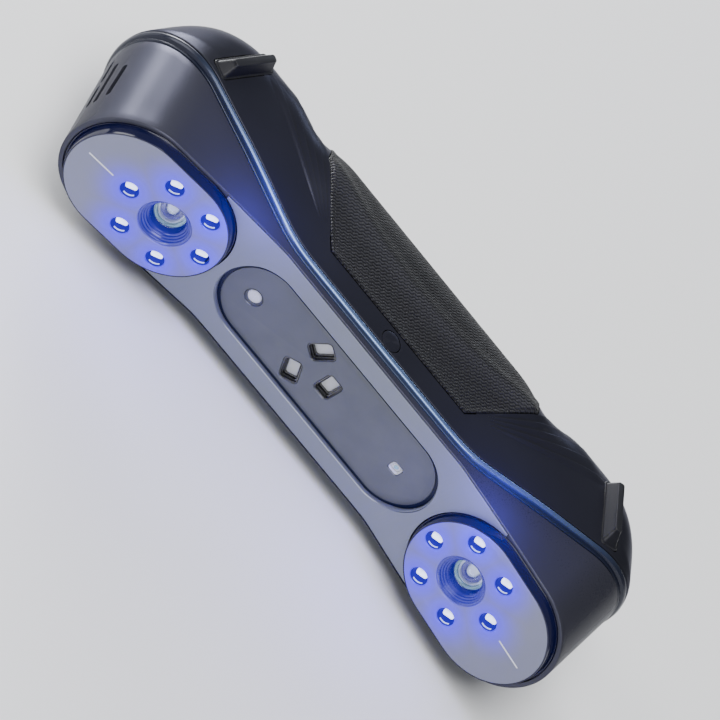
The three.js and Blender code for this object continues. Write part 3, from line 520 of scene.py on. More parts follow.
def cover_material():
    """Satin cover with painted blue glow round each light's well, in its colour and a faint emission; its map
    holds the window's own millimetres.
    """
    n = Nodes("cover_satin")
    x, y = n.mapped("window")
    radius = n.length(x, y)
    angle = n.math("PINGPONG", n.plus(n.math("ARCTAN2", y, x), 2 * math.pi), math.pi / LED_COUNT)
    near_x = n.math("SUBTRACT", n.times(radius, n.math("COSINE", angle)), LED_CIRCLE)
    far = n.length(near_x, n.times(radius, n.math("SINE", angle)))
    # Painted glow: blue colour and emission fading with distance from each light's well, for the lights'
    # spill on the cover.
    glow = n.math("POWER", n.spread(far, LED_HOLE, LED_HOLE + 11.5, 1, 0), 2.4)
    soft = n.noise(45, 4)
    fine = n.noise(3600, 2)
    base = n.mix(n.sway(soft, 0, 1), rgba((0.190, 0.200, 0.280)), rgba((0.210, 0.220, 0.300)))
    n.shade("Base Color", n.mix(n.times(glow, 0.9), base, rgba((0.06, 0.035, 0.80))))
    n.shade("Emission Color", rgba((0.07, 0.03, 1.0)))
    n.shade("Emission Strength", n.times(glow, 0.72))
    n.shade("Roughness", n.plus(n.sway(soft, 0.30, 0.34), n.sway(fine, -0.03, 0.03)))
    n.shade("Metallic", 0.35)
    n.shade("Normal", n.bump(0.2, 0.00002, fine))
    return n.material


def lamp(name, colour, strength, rough=0.3):
    """A glowing piece, a little uneven in its light: a lamp, or a painted highlight."""
    n = Nodes(name)
    soft = n.noise(900, 2)
    n.shade("Base Color", n.mix(soft, rgba(colour, 0.7), rgba(colour, 1.0)))
    n.shade("Emission Color", rgba(colour))
    n.shade("Emission Strength", n.sway(soft, strength * 0.85, strength * 1.15))
    n.shade("Roughness", n.sway(soft, rough - 0.05, rough + 0.05))
    return n.material


def clear(name, colour, rough=0.03, coating=0.0, ior=1.5):
    """Glass with faint smears in its gloss and an optional thin coating."""
    n = Nodes(name)
    smear = n.noise(160, 4)
    n.shade("Base Color", n.mix(n.sway(smear, 0, 1), rgba(colour), rgba(colour, 0.93)))
    n.shade("Roughness", n.spread(smear, 0.35, 0.75, rough, rough + 0.05))
    n.shade("Transmission Weight", 1.0)
    n.shade("IOR", ior)
    n.shade("Thin Film Thickness", coating)
    return n.material


def board_material():
    """Solder mask with a faint pattern of tracks under it."""
    n = Nodes("circuit_board")
    where = n.add("TexCoord").outputs["Object"]
    tracks = n.add("TexBrick", {"Vector": where, "Scale": 260.0, "Color1": rgba((0.006, 0.10, 0.04)),
                                "Color2": rgba((0.008, 0.14, 0.055)), "Mortar": rgba((0.004, 0.06, 0.025))})
    soft = n.noise(300, 3)
    n.shade("Base Color", n.mix(n.sway(soft, 0, 0.4), tracks.outputs[0], rgba((0.01, 0.09, 0.05))))
    n.shade("Roughness", n.sway(soft, 0.3, 0.5))
    n.shade("Normal", n.bump(0.4, GRAIN_DEPTH, tracks.outputs[1]))
    return n.material


front_paint = surface("front_paint", (0.052, 0.053, 0.072), 0.31, 0.55, wear=0.05, rough_spread=0.03,
                      Specular_IOR_Level=0.25, Specular_Tint=rgba((0.12, 0.12, 0.15)))
plate_paint = surface("plate_paint", (0.185, 0.202, 0.245), 0.34, 0.5, grain=2600, cloud=0.02, wear=0.08,
                      rough_spread=0.02)
trim_metal = trim_material()
rear_plastic = surface("rear_plastic", (0.034, 0.035, 0.046), 0.33, 0.72, grain=2400, grain_bump=0.4,
                       wear=0.03, rough_spread=0.03, Specular_IOR_Level=0.3,
                       Specular_Tint=rgba((0.3, 0.3, 0.35)))
tunnel_black = surface("tunnel_black", (0.003, 0.003, 0.005), 0.14, grain_bump=0.1, wear=0.5,
                       rough_spread=0.02)
gutter_navy = surface("gutter_navy", (0.010, 0.014, 0.050), 0.30, 0.2, grain_bump=0.1, wear=0.0,
                      Specular_IOR_Level=0.3)
panel_plastic = surface("panel_plastic", (0.080, 0.087, 0.106), 0.33, 0.3, grain=3200, cloud=0.02, wear=0.06,
                        rough_spread=0.02)
bezel_gloss = surface("bezel_gloss", (0.004, 0.005, 0.030), 0.12, grain_bump=0.03, wear=0.0,
                      rough_spread=0.02)
black_plastic = surface("black_plastic", (0.006, 0.006, 0.008), 0.35, grain=2600, grain_bump=0.3, wear=0.1)
# Lens barrel and innermost lens ring: the blue colour and faint blue emission are painted glow of the blue
# lights.
barrel_painted_blue_glow = surface("barrel_painted_blue_glow", (0.020, 0.020, 0.26), 0.22, 0.3, grain_bump=0.1, wear=0.1, coat=0.5,
                       Emission_Color=rgba((0.05, 0.04, 0.9)), Emission_Strength=0.16)
# LED wells: saturated blue colour and blue emission, painted glow of each light filling its well.
well_painted_blue_glow = surface("well_painted_blue_glow", (0.004, 0.001, 0.12), 0.45, 0.0, grain_bump=0.1, wear=0.0,
                    Emission_Color=rgba((0.030, 0.004, 1.0)), Emission_Strength=0.36, Specular_IOR_Level=0.2)
foot_rubber = surface("foot_rubber", (0.0065, 0.0068, 0.0095), 0.46, grain=1800, grain_bump=0.6, wear=0.05,
                      Specular_IOR_Level=0.3)
button_rubber = surface("button_rubber", (0.014, 0.014, 0.019), 0.52, grain=2200, grain_bump=0.5, wear=0.08)
bench_metal = surface("bench_aluminium", (0.55, 0.56, 0.58), 0.38, 1.0, grain=900, grain_bump=0.4, wear=0.2)
screw_steel = surface("screw_steel", (0.50, 0.50, 0.52), 0.25, 1.0, grain=1500, stretch=(1, 1, 0.1))
port_steel = surface("port_steel", (0.42, 0.43, 0.45), 0.28, 1.0, grain=1600, stretch=(0.1, 1, 1))
module_brass = surface("module_brass", (0.58, 0.42, 0.17), 0.3, 1.0, grain=1400, stretch=(1, 0.1, 1))
mark_white = surface("mark_white", (0.75, 0.76, 0.80), 0.5, grain_bump=0.1, wear=0.0)
cover_satin = cover_material()
grip_tiles = grip_weave()
circuit_board = board_material()
chip_white = lamp("chip_white", (0.70, 0.76, 1.0), 2.6)
# Crescent: a painted highlight, glowing in place of the reflection on each light's dome.
crescent_painted_glint = lamp("crescent_painted_glint", (0.50, 0.58, 1.0), 1.1)
status_glow = lamp("status_glow", (0.45, 0.85, 1.0), 0.5)
lens_clear = clear("lens_clear", (0.96, 0.98, 1.0), 0.01, coating=380.0, ior=1.35)
# Teal and pale ring colours, each with a faint emission: painted reflections and highlights in the lenses.
teal_painted_glow = surface("teal_painted_glow", (0.22, 0.42, 0.50), 0.10, 0.5, grain_bump=0.05, coat=1.0, wear=0.0,
                      Emission_Color=rgba((0.25, 0.55, 0.75)), Emission_Strength=0.10)
lens_ring = surface("lens_ring", (0.66, 0.72, 0.86), 0.18, 0.6, grain_bump=0.1, wear=0.1,
                    Emission_Color=rgba((0.55, 0.65, 1.0)), Emission_Strength=0.22)
# The lens's inner rings, pale and teal with faint emission: painted highlights and reflections of the lens.
# Outer and inner radius, height and material.
LENS_RINGS = [(4.8, 4.2, -5.5, lens_ring), (4.1, 3.3, -5.8, teal_painted_glow),
              (3.2, 2.7, -6.0, lens_ring), (2.6, 1.6, -6.3, barrel_painted_blue_glow)]
laser_white = surface("laser_white", (0.60, 0.61, 0.64), 0.28, grain_bump=0.2, wear=0.1)


# ---- front half
def fillet_rings(kind, depth_at, radius, count, inset=0.0):
    """Rings round the edge between a skin and its front face."""
    return [ring(kind, lambda x: depth_at(x) + radius * (1 - math.cos(a)), inset + radius * (1 - math.sin(a)))
            for a in sweep(0, 90, count)]


def window_recesses(low):
    """Cutters for both camera heads, from a height up through the face."""
    grow = BEZEL_SPREAD + GAP
    return [stack("cutter", window, [(grow, low), (grow, 5)], head_matrix(side)) for side in SIDES.values()]


def vent_cutter(turn, start, stop):
    """Cutter for a cooling slot at a turn in degrees, between two depths."""
    tilt = math.radians(turn)
    out = Vector((-math.cos(tilt), 0, math.sin(tilt)))
    place = basis((0, 1, 0), out.cross(Vector((0, 1, 0))), out, (-VENT_CENTRE, 0, 0))
    outline = lambda grow: stadium(start + VENT_HALF, stop - VENT_HALF, VENT_HALF + grow, 8)
    return stack("cutter", outline, [(0, 8), (0, 40)], place)


def front_shell():
    low = lambda x: seam_depth(x) - TRIM_WIDTH - GAP
    fillet, lower_fillet = 0.45, 0.3
    rings = fillet_rings("front", face_depth, fillet, 6)
    for t in np.linspace(0, 1, 14)[1:-1]:
        between = lambda x: (face_depth(x) + fillet) * (1 - t) + (low(x) - lower_fillet) * t
        rings.append(ring("front", between))
    for a in sweep(0, 90, 5):
        inset = lower_fillet * (1 - math.cos(a))
        rings.append(ring("front", lambda x: low(x) - lower_fillet * (1 - math.sin(a)), inset))
    rings.append(ring("front", low, FRONT_WALL))
    rings.append(ring("front", face_depth, FRONT_WALL))
    shell = loft("front_shell_skin", rings, front_paint, wrap=True)
    seat = loft("cutter", [ring("front", lambda x: face_depth(x) + d, RIM) for d in (-2, PLATE_THICK + GAP)])
    reach = PLATE_END + GAP
    cut(seat, block(-reach, reach, -20, 20, -40, 40), operation="INTERSECT")
    cut(shell, seat, *window_recesses(BEZEL_BASE - GAP), *[vent_cutter(*vent) for vent in VENTS])
    finish_piece(shell, "front_paint", "front_shell")


def front_plate():
    inset = RIM + GAP
    rings = fillet_rings("front", face_depth, 0.25, 5, inset)
    rings.append(ring("front", lambda x: face_depth(x) + PLATE_THICK, inset))
    plate = loft("front_plate_skin", rings, plate_paint)
    mouth = [(0.35, 0), (0.35, PLATE_FRONT - 0.1), (0.1, PLATE_FRONT + 0.12), (0, PLATE_FRONT + 0.4), (0, 20)]
    hole = stack("cutter", panel_shape, [(PANEL_HALF + grow, height) for grow, height in mouth], MIDDLE)
    cut(plate, hole, *window_recesses(-20))
    cut(plate, block(-PLATE_END, PLATE_END, -20, 20, -40, 40), operation="INTERSECT")
    finish_piece(plate, "plate_paint", "front_plate")


# Share of the strip's width, and how far the skin is set in there.
TRIM_PROFILE_FRONT = [(0, 0.5), (0.03, 0.2), (0.08, 0.05), (0.14, 0.0), (0.2, 0.06), (0.42, 0.1)]
TRIM_PROFILE_REAR = [(0.5, 0.45), (0.62, 0.24), (0.76, 0.09), (0.88, 0.0), (0.95, 0.06), (1, 0.4)]


def seam_trim():
    front = lambda x: seam_depth(x) - TRIM_WIDTH
    back = lambda x: seam_depth(x) - GAP
    rings, shares = [], []
    for t, inset in TRIM_PROFILE_FRONT:
        rings.append(ring("front", lambda x: front(x) * (1 - t) + back(x) * t, inset))
        shares.append(t)
    for t, inset in TRIM_PROFILE_REAR:
        rings.append(ring("rear", lambda x: front(x) * (1 - t) + back(x) * t, inset))
        shares.append(t)
    rings.append(ring("rear", back, TRIM_WALL + REAR_WAIST - FRONT_WAIST))
    rings.append(ring("front", front, TRIM_WALL))
    strip = loft("seam_trim_strip", rings, trim_metal, wrap=True)
    points = np.vstack(rings)
    write_map(strip, "trim", np.column_stack([points[:, 0], np.repeat(shares + [1, 0], len(STATIONS))]))
    finish_piece(strip, "trim_metal", "seam_trim")


# ---- rear half
FAN_LOW, FAN_HIGH, FAN_RIDGES = math.radians(27), math.radians(54), 5
FAN_NEAR, FAN_FAR, FAN_RISE, FAN_SINK, FAN_BURIED, FAN_FADE = 5, 56, 0.55, 0.8, 0.05, 9


def flank_height(x, y):
    """Half-width of the rear half at a point of its flank or of its rounded back edge."""
    width = REAR_WAIST + (REAR_HALF - REAR_WAIST) * flare(x)
    past = np.clip((y - (back_depth(x) - BACK_ROUND)) / BACK_ROUND, 0, 0.97)
    return width * np.sqrt(1 - past ** 2)


def grid_faces(rows, count):
    return [(i * count + j, (i + 1) * count + j, (i + 1) * count + j + 1, i * count + j + 1)
            for i in range(rows - 1) for j in range(count - 1)]


def grid_rim(rows, count):
    """Indices round the edge of a grid of points."""
    loop = [i * count for i in range(rows)] + [(rows - 1) * count + j for j in range(1, count)]
    return loop + [i * count + count - 1 for i in range(rows - 2, -1, -1)] + list(range(count - 2, 0, -1))


def fan_piece(name, end, up):
    """Shallow ridges, lapped like shingles, that fan out from one corner of the grip."""
    turns = np.linspace(0, 1, FAN_RIDGES * 10 + 1)[:-1]
    reaches = np.linspace(0, 1, 70)
    top, bottom = [], []
    for t in turns:
        angle = FAN_LOW + (FAN_HIGH - FAN_LOW) * t
        lap = (t * FAN_RIDGES) % 1
        for s in reaches:
            r = FAN_NEAR + (FAN_FAR - FAN_NEAR) * s
            x, y = GRIP_CORNER + r * math.cos(angle), GRIP_FRONT + r * math.sin(angle)
            limit = float(back_depth(x)) - BACK_ROUND * 0.2
            ends = ease(s * 3) * ease((1 - s) * 6)
            rim = float(ends * ease(t * FAN_RIDGES * 1.5) * ease((limit - y) / FAN_FADE))
            y = min(y, limit)
            base = float(flank_height(x, y))
            top.append((end * x, y, up * (base + FAN_RISE * lap * rim - FAN_BURIED)))
            bottom.append((end * x, y, up * (base - FAN_SINK)))
    quads = grid_faces(len(turns), len(reaches))
    faces = [face for quad in quads for face in (quad, tuple(len(top) + k for k in reversed(quad)))]
    loop = grid_rim(len(turns), len(reaches))
    faces += [(a, b, len(top) + b, len(top) + a) for a, b in zip(loop, loop[1:] + loop[:1])]
    finish_piece(make_piece(name, top + bottom, faces, rear_plastic, sharp=18), "rear_plastic")


def grip_region(grow):
    reach = GRIP_REACH + grow
    half = [(GRIP_CORNER + grow, GRIP_FRONT - grow), (reach, GRIP_REACH_DEPTH - grow), (reach, 80)]
    flat = np.array(half + [(-x, y) for x, y in reversed(half)])
    return stack("cutter", lambda _: flat, [(0, -40), (0, 40)], Matrix.Identity(4))


def rear_shell():
    fillet = 0.35
    rings = [ring("rear", lambda x: 46 + 0 * x, REAR_WALL), ring("rear", seam_depth, REAR_WALL)]
    rings += fillet_rings("rear", seam_depth, fillet, 5)
    start = lambda x: seam_depth(x) + fillet
    stop = lambda x: back_depth(x) - BACK_ROUND
    rings += [ring("rear", lambda x: start(x) * (1 - t) + stop(x) * t) for t in np.linspace(0, 1, 14)[1:]]
    rings += [back_ring(a) for a in sweep(3, 88, 34)]
    shell = loft("rear_shell_skin", rings, rear_plastic, sharp=24)
    pocket = grip_region(GAP)
    inset = GRIP_INSET + GAP
    core = [ring("rear", lambda x: 8 + 0 * x, inset), *[back_ring(a, inset) for a in sweep(0, 88, 20)]]
    cut(pocket, loft("cutter", core))
    port = basis((0, 0, -1), (0, 1, 0), (1, 0, 0), (0, PORT_Y, 0))
    mouth = rect_shape(PORT_WIDTH, PORT_HEIGHT, PORT_CORNER, 8)
    foot_seat = rect_shape(FOOT_WIDTH + 2 * GAP, FOOT_LENGTH + 2 * GAP, 1.5, 8)
    plug_hole = [(PLUG_R + 0.22, 15), (PLUG_R + 0.22, 40)]
    keypad_floor = KEYPAD_FACE - KEYPAD_THICK - GAP
    cutters = [pocket, stack("cutter", keypad_shape, [(GAP, keypad_floor), (GAP, 90)], MIDDLE),
               stack("cutter", mouth, [(0, PORT_FLOOR), (0, 120)], port),
               stack("cutter", circle_of, plug_hole, Matrix.Translation((0, PLUG_Y, 0)))]
    cutters += [stack("cutter", foot_seat, [(0, FOOT_BASE - 0.6), (0, 30)], foot_matrix(side, up))
                for side in SIDES.values() for up in FLANKS.values()]
    cut(shell, *cutters, sharp=24)
    cup, lip = 0.8, PORT_FLOOR + 3
    levels = [(cup, PORT_FLOOR - cup), (cup, lip), (0, lip), (0, PORT_FLOOR)]
    build("port_cup", mouth, levels, port, rear_plastic, "rear_plastic")
    finish_piece(shell, "rear_plastic", "rear_shell")


def grip_sleeve():
    """One sheet wrapped round the back, with a crest along each flank and turned-in edges."""
    columns, rows = 240, 260
    xs = np.linspace(-GRIP_REACH, GRIP_REACH, columns)
    points, maps = [], []
    slope_rise, slope_run = GRIP_REACH_DEPTH - GRIP_FRONT, GRIP_REACH - GRIP_CORNER
    for x in xs:
        edge_y = GRIP_FRONT + max(0, abs(x) - GRIP_CORNER) * slope_rise / slope_run
        bend_y = float(back_depth(x)) - BACK_ROUND
        width = REAR_WAIST + (REAR_HALF - REAR_WAIST) * float(flare(x)) + GRIP_PROUD
        flat = max(0.0, bend_y - edge_y)
        first = 0.0 if edge_y < bend_y else math.asin(min(1, (edge_y - bend_y) / BACK_ROUND))
        curve = np.linspace(first, math.pi / 2, 60)
        section = [(edge_y, width)] if flat > 0 else []
        section += [(bend_y + (BACK_ROUND + GRIP_PROUD) * math.sin(a), width * math.cos(a)) for a in curve]
        section = np.array(section)
        steps = np.concatenate([[0], np.cumsum(np.hypot(*np.diff(section, axis=0).T))])
        along = np.linspace(0, steps[-1], rows // 2)
        half = np.column_stack([np.interp(along, steps, side) for side in section.T])
        profile = np.vstack([half, (half * (1, -1))[::-1][1:]])
        around = np.concatenate([along - steps[-1], (steps[-1] - along)[::-1][1:]])
        normal = np.gradient(profile, axis=0)
        normal = np.column_stack([-normal[:, 1], normal[:, 0]])
        normal /= np.linalg.norm(normal, axis=1)[:, None]
        rim = np.minimum(steps[-1] - np.abs(around), (GRIP_REACH - abs(x)) * 1.2 + 0.001)
        past = np.abs(around) - (CREST_AT - CREST_SWING * (x / GRIP_REACH) ** 2)
        crest = CREST_RISE * np.where(past > 0, np.exp(-(past / 8) ** 2), np.exp(-(past / 3.2) ** 2))
        lift = (crest - 0.45) * ease(rim / 3) - 0.35 * (1 - ease(rim / 0.7)) ** 2
        profile = profile + normal * lift[:, None]
        points += [(x, y, z) for y, z in profile]
        maps += [(x, v) for v in around]
    count = len(profile)
    faces = grid_faces(columns, count)
    rim_loop = grid_rim(columns, count)
    centre = np.array([0, 40, 0])
    base = len(points)
    for index in rim_loop:
        inward = centre - points[index]
        inward[0] *= 0.2
        points.append(tuple(points[index] + 1.3 * inward / np.linalg.norm(inward)))
        maps.append(maps[index])
    size = len(rim_loop)
    faces += [(rim_loop[k], rim_loop[(k + 1) % size], base + (k + 1) % size, base + k) for k in range(size)]
    sleeve = make_piece("grip_cover", points, faces, grip_tiles, sharp=60)
    write_map(sleeve, "grip", np.array(maps))
    hole = stack("cutter", keypad_shape, [(GAP, 50), (GAP, 90)], on_face(0, 0))
    cut(sleeve, hole, sharp=60)
    finish_piece(sleeve, "grip_rubber", "grip_sleeve")


def write_map(piece, name, flat):
    layer = piece.data.uv_layers.new(name=name)
    corners = np.empty(len(piece.data.loops), int)
    piece.data.loops.foreach_get("vertex_index", corners)
    layer.data.foreach_set("uv", flat[corners].astype(float).ravel())


# ---- camera heads
def window_bezel(name, head):
    wall, top, foot, bottom = 2.4, -0.12, BEZEL_SPREAD, -5.0
    inner, low, high = -3.4, HEAD_FACE + 0.12, top - 0.12
    levels = [(inner, BEZEL_BASE), (foot - 0.1, BEZEL_BASE), (foot, BEZEL_BASE + 0.2)]
    shoulder = ((0, 0.35), (0.05, 0.2), (0.18, 0.08), (0.34, 0.08))
    levels += [(foot - inset, HEAD_FACE - drop) for inset, drop in shoulder]
    levels += [(0.5 - 0.44 * t, low + (high - low) * t) for t in np.linspace(0, 1, 5)]
    levels += [(0.02, top), (-COVER_INSET + 0.06, top), (-COVER_INSET + 0.03, -COVER_THICK)]
    levels += [(-wall, -COVER_THICK - 0.15), (-wall, bottom), (inner, bottom)]
    build(f"{name}_bezel_ring", window, levels, head, bezel_gloss, "bezel_gloss", f"window_bezel_{name}",
          wrap=True)


CRESCENT_TURN, CHIP_TURN = math.radians(62), math.radians(28)
MARK_FROM, MARK_TO, MARK_R = 19.9, 28.7, 0.24  # the plain line on each window
WELL_PROFILE = [(2.72, -0.34), (2.72, -0.9), (2.55, -1.0), (2.45, -2.4), (2.2, -3.3), (1.2, -3.35),
                (0.01, -3.35), (0.01, -3.5), (2.79, -3.5), (2.79, -0.34)]
BARREL_PROFILE = [(7.72, -0.45), (7.1, -0.75), (7.0, -1.2), (6.55, -1.3), (6.45, -1.8), (6.0, -1.9),
                  (5.9, -2.4), (5.45, -2.55), (5.3, -3.0), (5.3, -5.5), (4.2, -5.5), (4.2, -11), (3.0, -11.6),
                  (3.0, BARREL_END), (BARREL_R, BARREL_END), (BARREL_R, -6.0), (7.3, -6.0), (7.3, -2.0),
                  (7.75, -1.5)]


def well_place(head, i):
    angle = 2 * math.pi * i / LED_COUNT
    return head @ Matrix.Translation((LED_CIRCLE * math.cos(angle), LED_CIRCLE * math.sin(angle), 0))


def window_cover(name, head):
    cover = stack(f"{name}_cover_plate", window, slab(-COVER_THICK, 0, 0.14, -COVER_INSET), head, cover_satin)
    mouth = lambda r: [(r, -5), (r, -0.3), (r + 0.06, -0.14), (r + 0.2, -0.03), (r + 0.32, 0.0), (r + 0.4, 1)]
    holes = [stack("cutter", circle_of, mouth(LENS_HOLE), head)]
    holes += [stack("cutter", circle_of, mouth(LED_HOLE), well_place(head, i)) for i in range(LED_COUNT)]
    cut(cover, *holes)
    inverse = np.array(head.inverted())
    flat = np.empty(len(cover.data.vertices) * 3)
    cover.data.vertices.foreach_get("co", flat)
    body = flat.reshape(-1, 3) / MM + (0, DEPTH_SHIFT, -FOOT_TOP)
    write_map(cover, "window", transformed(body, inverse)[:, :2])
    finish_piece(cover, "cover_plastic", f"window_cover_{name}")
    line = lambda grow: stadium(MARK_FROM, MARK_TO, MARK_R + grow, 6)
    build(f"{name}_cover_mark", line, [(0, -0.02), (0, 0.008)], head, mark_white, "cover_plastic")


def led_well(name, head, i):
    place = well_place(head, i - 1)
    # The well's blue colour and emission are painted glow from the light.
    build(f"{name}_led_well_{i}", circle_of, WELL_PROFILE, place, well_painted_blue_glow, "led_lens", wrap=True)
    aim = place @ Matrix.Rotation(CHIP_TURN if name == "right" else CHIP_TURN + math.pi, 4, "Z")
    chip = [(0, -3.3), (0, -2.0), (-0.12, -1.82), (-0.4, -1.75)]
    outline = rect_shape(3.5, 1.9, 0.6, 5)
    build(f"{name}_led_dome_{i}", outline, chip, aim, chip_white, "led_lens", f"led_{name}_{i}")
    # Painted highlight: a glowing crescent beside each well's rim, for the reflection on the light's dome.
    half = math.radians(38)
    turn = -CRESCENT_TURN if name == "right" else math.pi - CRESCENT_TURN
    outer = arc(0, 0, 2.66, turn - half, turn + half, 12)
    shape = np.vstack([outer, arc(0, 0, 2.38, turn + half, turn - half, 12)])
    levels = [(0, -1.2), (0, -0.95)]
    build(f"{name}_led_glint_{i}", lambda _: shape, levels, place, crescent_painted_glint, "led_lens")


def lens_well(name, head):
    """Blackened barrel with stepped rings, tinted with painted blue glow, and the coated lenses inside it."""
    rounded, near, far = [], 0.06, 0.94
    for (r0, z0), (r1, z1) in zip(BARREL_PROFILE, BARREL_PROFILE[1:] + BARREL_PROFILE[:1]):
        rounded += [(r0 * a + r1 * b, z0 * a + z1 * b) for a, b in ((far, near), (near, far))]
    build(f"{name}_barrel_steps", circle_of, rounded, head, barrel_painted_blue_glow, "black_plastic",
          f"lens_barrel_{name}", wrap=True)
    front = [(4.9, -5.35)] + dome(4.9, -5.3, 3.05, 88, 18)
    build(f"{name}_lens_dome", circle_of, front, head, lens_clear, "lens_glass", f"front_lens_{name}")
    for k, (outer, inner, rise, material) in enumerate(LENS_RINGS, 1):
        steps = [(outer, rise - 1.2), (outer, rise - 0.12), (outer - 0.12, rise), (inner + 0.12, rise + 0.1),
                 (inner, rise), (inner, rise - 1.2)]
        build(f"{name}_lens_ring_{k}", circle_of, steps, head, material, "black_plastic", wrap=True)
    # Inner lens in the pale glowing finish: a painted highlight at the lens's centre.
    iris = [(1.5, -7.4)] + dome(1.5, -6.7, 0.7, 90, 8)
    build(f"{name}_inner_lens", circle_of, iris, head, lens_ring, "lens_glass")


def rubber_foot(name, side, flank, up):
    """Rubber bar on a low plinth: slanted sides, a long ramp at its front end and soft edges."""
    def bar(level):
        half, front, back, corner = level
        a, low, high = half - corner, front + corner, back - corner
        return round_corners([(a, low), (a, high), (-a, high), (-a, low)], corner, 6)

    wide, end, tip = FOOT_WIDTH / 2, FOOT_LENGTH / 2, FOOT_TOP - FOOT_BASE
    plinth, crest, tip_round = (wide, -end, end, 1.3), FOOT_CREST / 2 + 0.1, 0.22
    rings = [(plinth, -0.5), (plinth, 0.7), ((wide - 0.1, 0.1 - end, end - 0.1, 1.3), 0.85)]
    rings.append(((wide - 0.35, 0.35 - end, end - 0.35, 1.2), 0.92))
    for t in np.linspace(0, 1, 6):
        half = (wide - 0.55) * (1 - t) + crest * t
        outline = (half, 0.8 - end + (FOOT_RAMP - 0.4) * t, end - 0.55 - 0.7 * t, 1.1 - 0.3 * t)
        rings.append((outline, 0.98 + (tip - 1.2) * t))
    for a in np.radians((30, 60, 90)):
        half = crest - tip_round * (1 - math.cos(a))
        pull = 0.25 * (1 - math.cos(a))
        outline = (half, 0.4 - end + FOOT_RAMP + pull, end - 1.25 - pull, 0.75)
        rings.append((outline, tip - tip_round + tip_round * math.sin(a)))
    levels = [(level, FOOT_BASE + height) for level, height in rings]
    build(f"foot_bar_{name}_{flank}", bar, levels, foot_matrix(side, up), foot_rubber, "foot_rubber",
          f"rubber_foot_{name}_{flank}")


# ---- panel, keypad, port and plug
def centre_panel():
    pad, face = PANEL_PAD_HALF, PANEL_PAD_FRONT
    deck = [(PANEL_HALF + 1.4, PANEL_BACK), (PANEL_HALF + 1.4, PANEL_FRONT), (pad + 0.25, PANEL_FRONT),
            (pad, PANEL_FRONT - 0.15), (pad, face + 0.25), (pad - 0.08, face + 0.08), (pad - 0.25, face)]
    flange = stack("panel_deck", panel_shape, deck, MIDDLE, panel_plastic)
    mouth = [(0.45, face - 1), (0.22, face), (0.05, face + 0.2), (0, face + 0.4), (0, 15)]
    laser, colour = rect_shape(*LASER_SIZE), rect_shape(*COLOUR_SIZE)
    disc = lambda grow: circle(PROJECTOR_R + grow)
    projector_place, colour_place = on_face(PROJECTOR_X, 0), on_face(COLOUR_X, 0)
    cutters = [stack("cutter", laser, mouth, on_face(x, z, turn)) for x, z, turn in LASERS]
    cutters.append(stack("cutter", disc, mouth, projector_place))
    cutters.append(stack("cutter", colour, mouth, colour_place))
    cut(flange, *cutters)
    finish_piece(flange, "panel_plastic", "centre_panel")
    wall = PANEL_HALF + 0.2
    gutter = [(pad + 0.02, 0.2), (pad + 0.02, -0.3), (pad + 0.3, -0.22), (wall, -0.22), (wall, 0.2)]
    gutter = [(grow, PANEL_FRONT + height) for grow, height in gutter]
    build("panel_gutter", panel_shape, gutter, MIDDLE, gutter_navy, "panel_plastic", wrap=True)
    for i, (x, z, turn) in enumerate(LASERS, 1):
        place = on_face(x, z, turn)
        laser_tunnel(f"laser_frame_{i}", laser, place)
        glass = slab(LASER_WINDOW, LASER_WINDOW + 0.8, 0.15)
        build(f"laser_glass_{i}", rect_shape(3.7, 5.9, 0.9), glass, place, laser_white, "laser_glass",
              f"laser_window_{i}")
    panel_window("projector_frame", disc, projector_place, panel_plastic, 0.5)
    lens = [(2.2, face + 1.3)] + dome(2.2, face + 0.8, -0.45, 90, 8)
    build("projector_lens", circle_of, lens, projector_place, laser_white, "dark_glass", "projector_window")
    panel_window("colour_frame", colour, colour_place, laser_white, 0.55)
    glass = slab(face + 0.75, face + 1.5, 0.12)
    build("colour_glass", rect_shape(2.6, 2.1, 0.4), glass, colour_place, laser_white, "dark_glass",
          "colour_camera_window")
    # Teal dot with faint emission: painted glow on the colour camera's lens.
    dot = [(0.75, face + 1)] + dome(0.75, face + 0.78, -0.2, 90, 6)
    build("colour_dot", circle_of, dot, colour_place, teal_painted_glow, "dark_glass")


def laser_tunnel(name, outline, place):
    """Black tunnel with two ledges on the way down to its deep window."""
    top, deep = PANEL_PAD_FRONT + 0.2, LASER_WINDOW - 0.05
    steps = [(-0.06, 0), (-0.22, -0.12), (-0.3, 0), (-0.34, 0.65), (-0.62, 0.68), (-0.72, 0.78),
             (-0.74, 1.35), (-1.0, 1.38), (-1.1, 1.48)]
    levels = [(-0.06, deep), *[(grow, top + height) for grow, height in steps], (-1.12, deep)]
    build(name, outline, levels, place, tunnel_black, "laser_glass", wrap=True)


def panel_window(name, outline, place, material, margin):
    """Stepped frame that holds a shallow window."""
    top, deep = PANEL_PAD_FRONT + 0.25, PANEL_BACK
    levels = [(-0.08, deep), (-0.08, top), (-0.2, top - 0.08), (-0.3, top), (-0.35, top + 0.25),
              (-margin, top + 0.3), (-margin - 0.06, top + 0.8), (-margin - 0.06, deep)]
    build(name, outline, levels, place, material, "dark_glass", wrap=True)


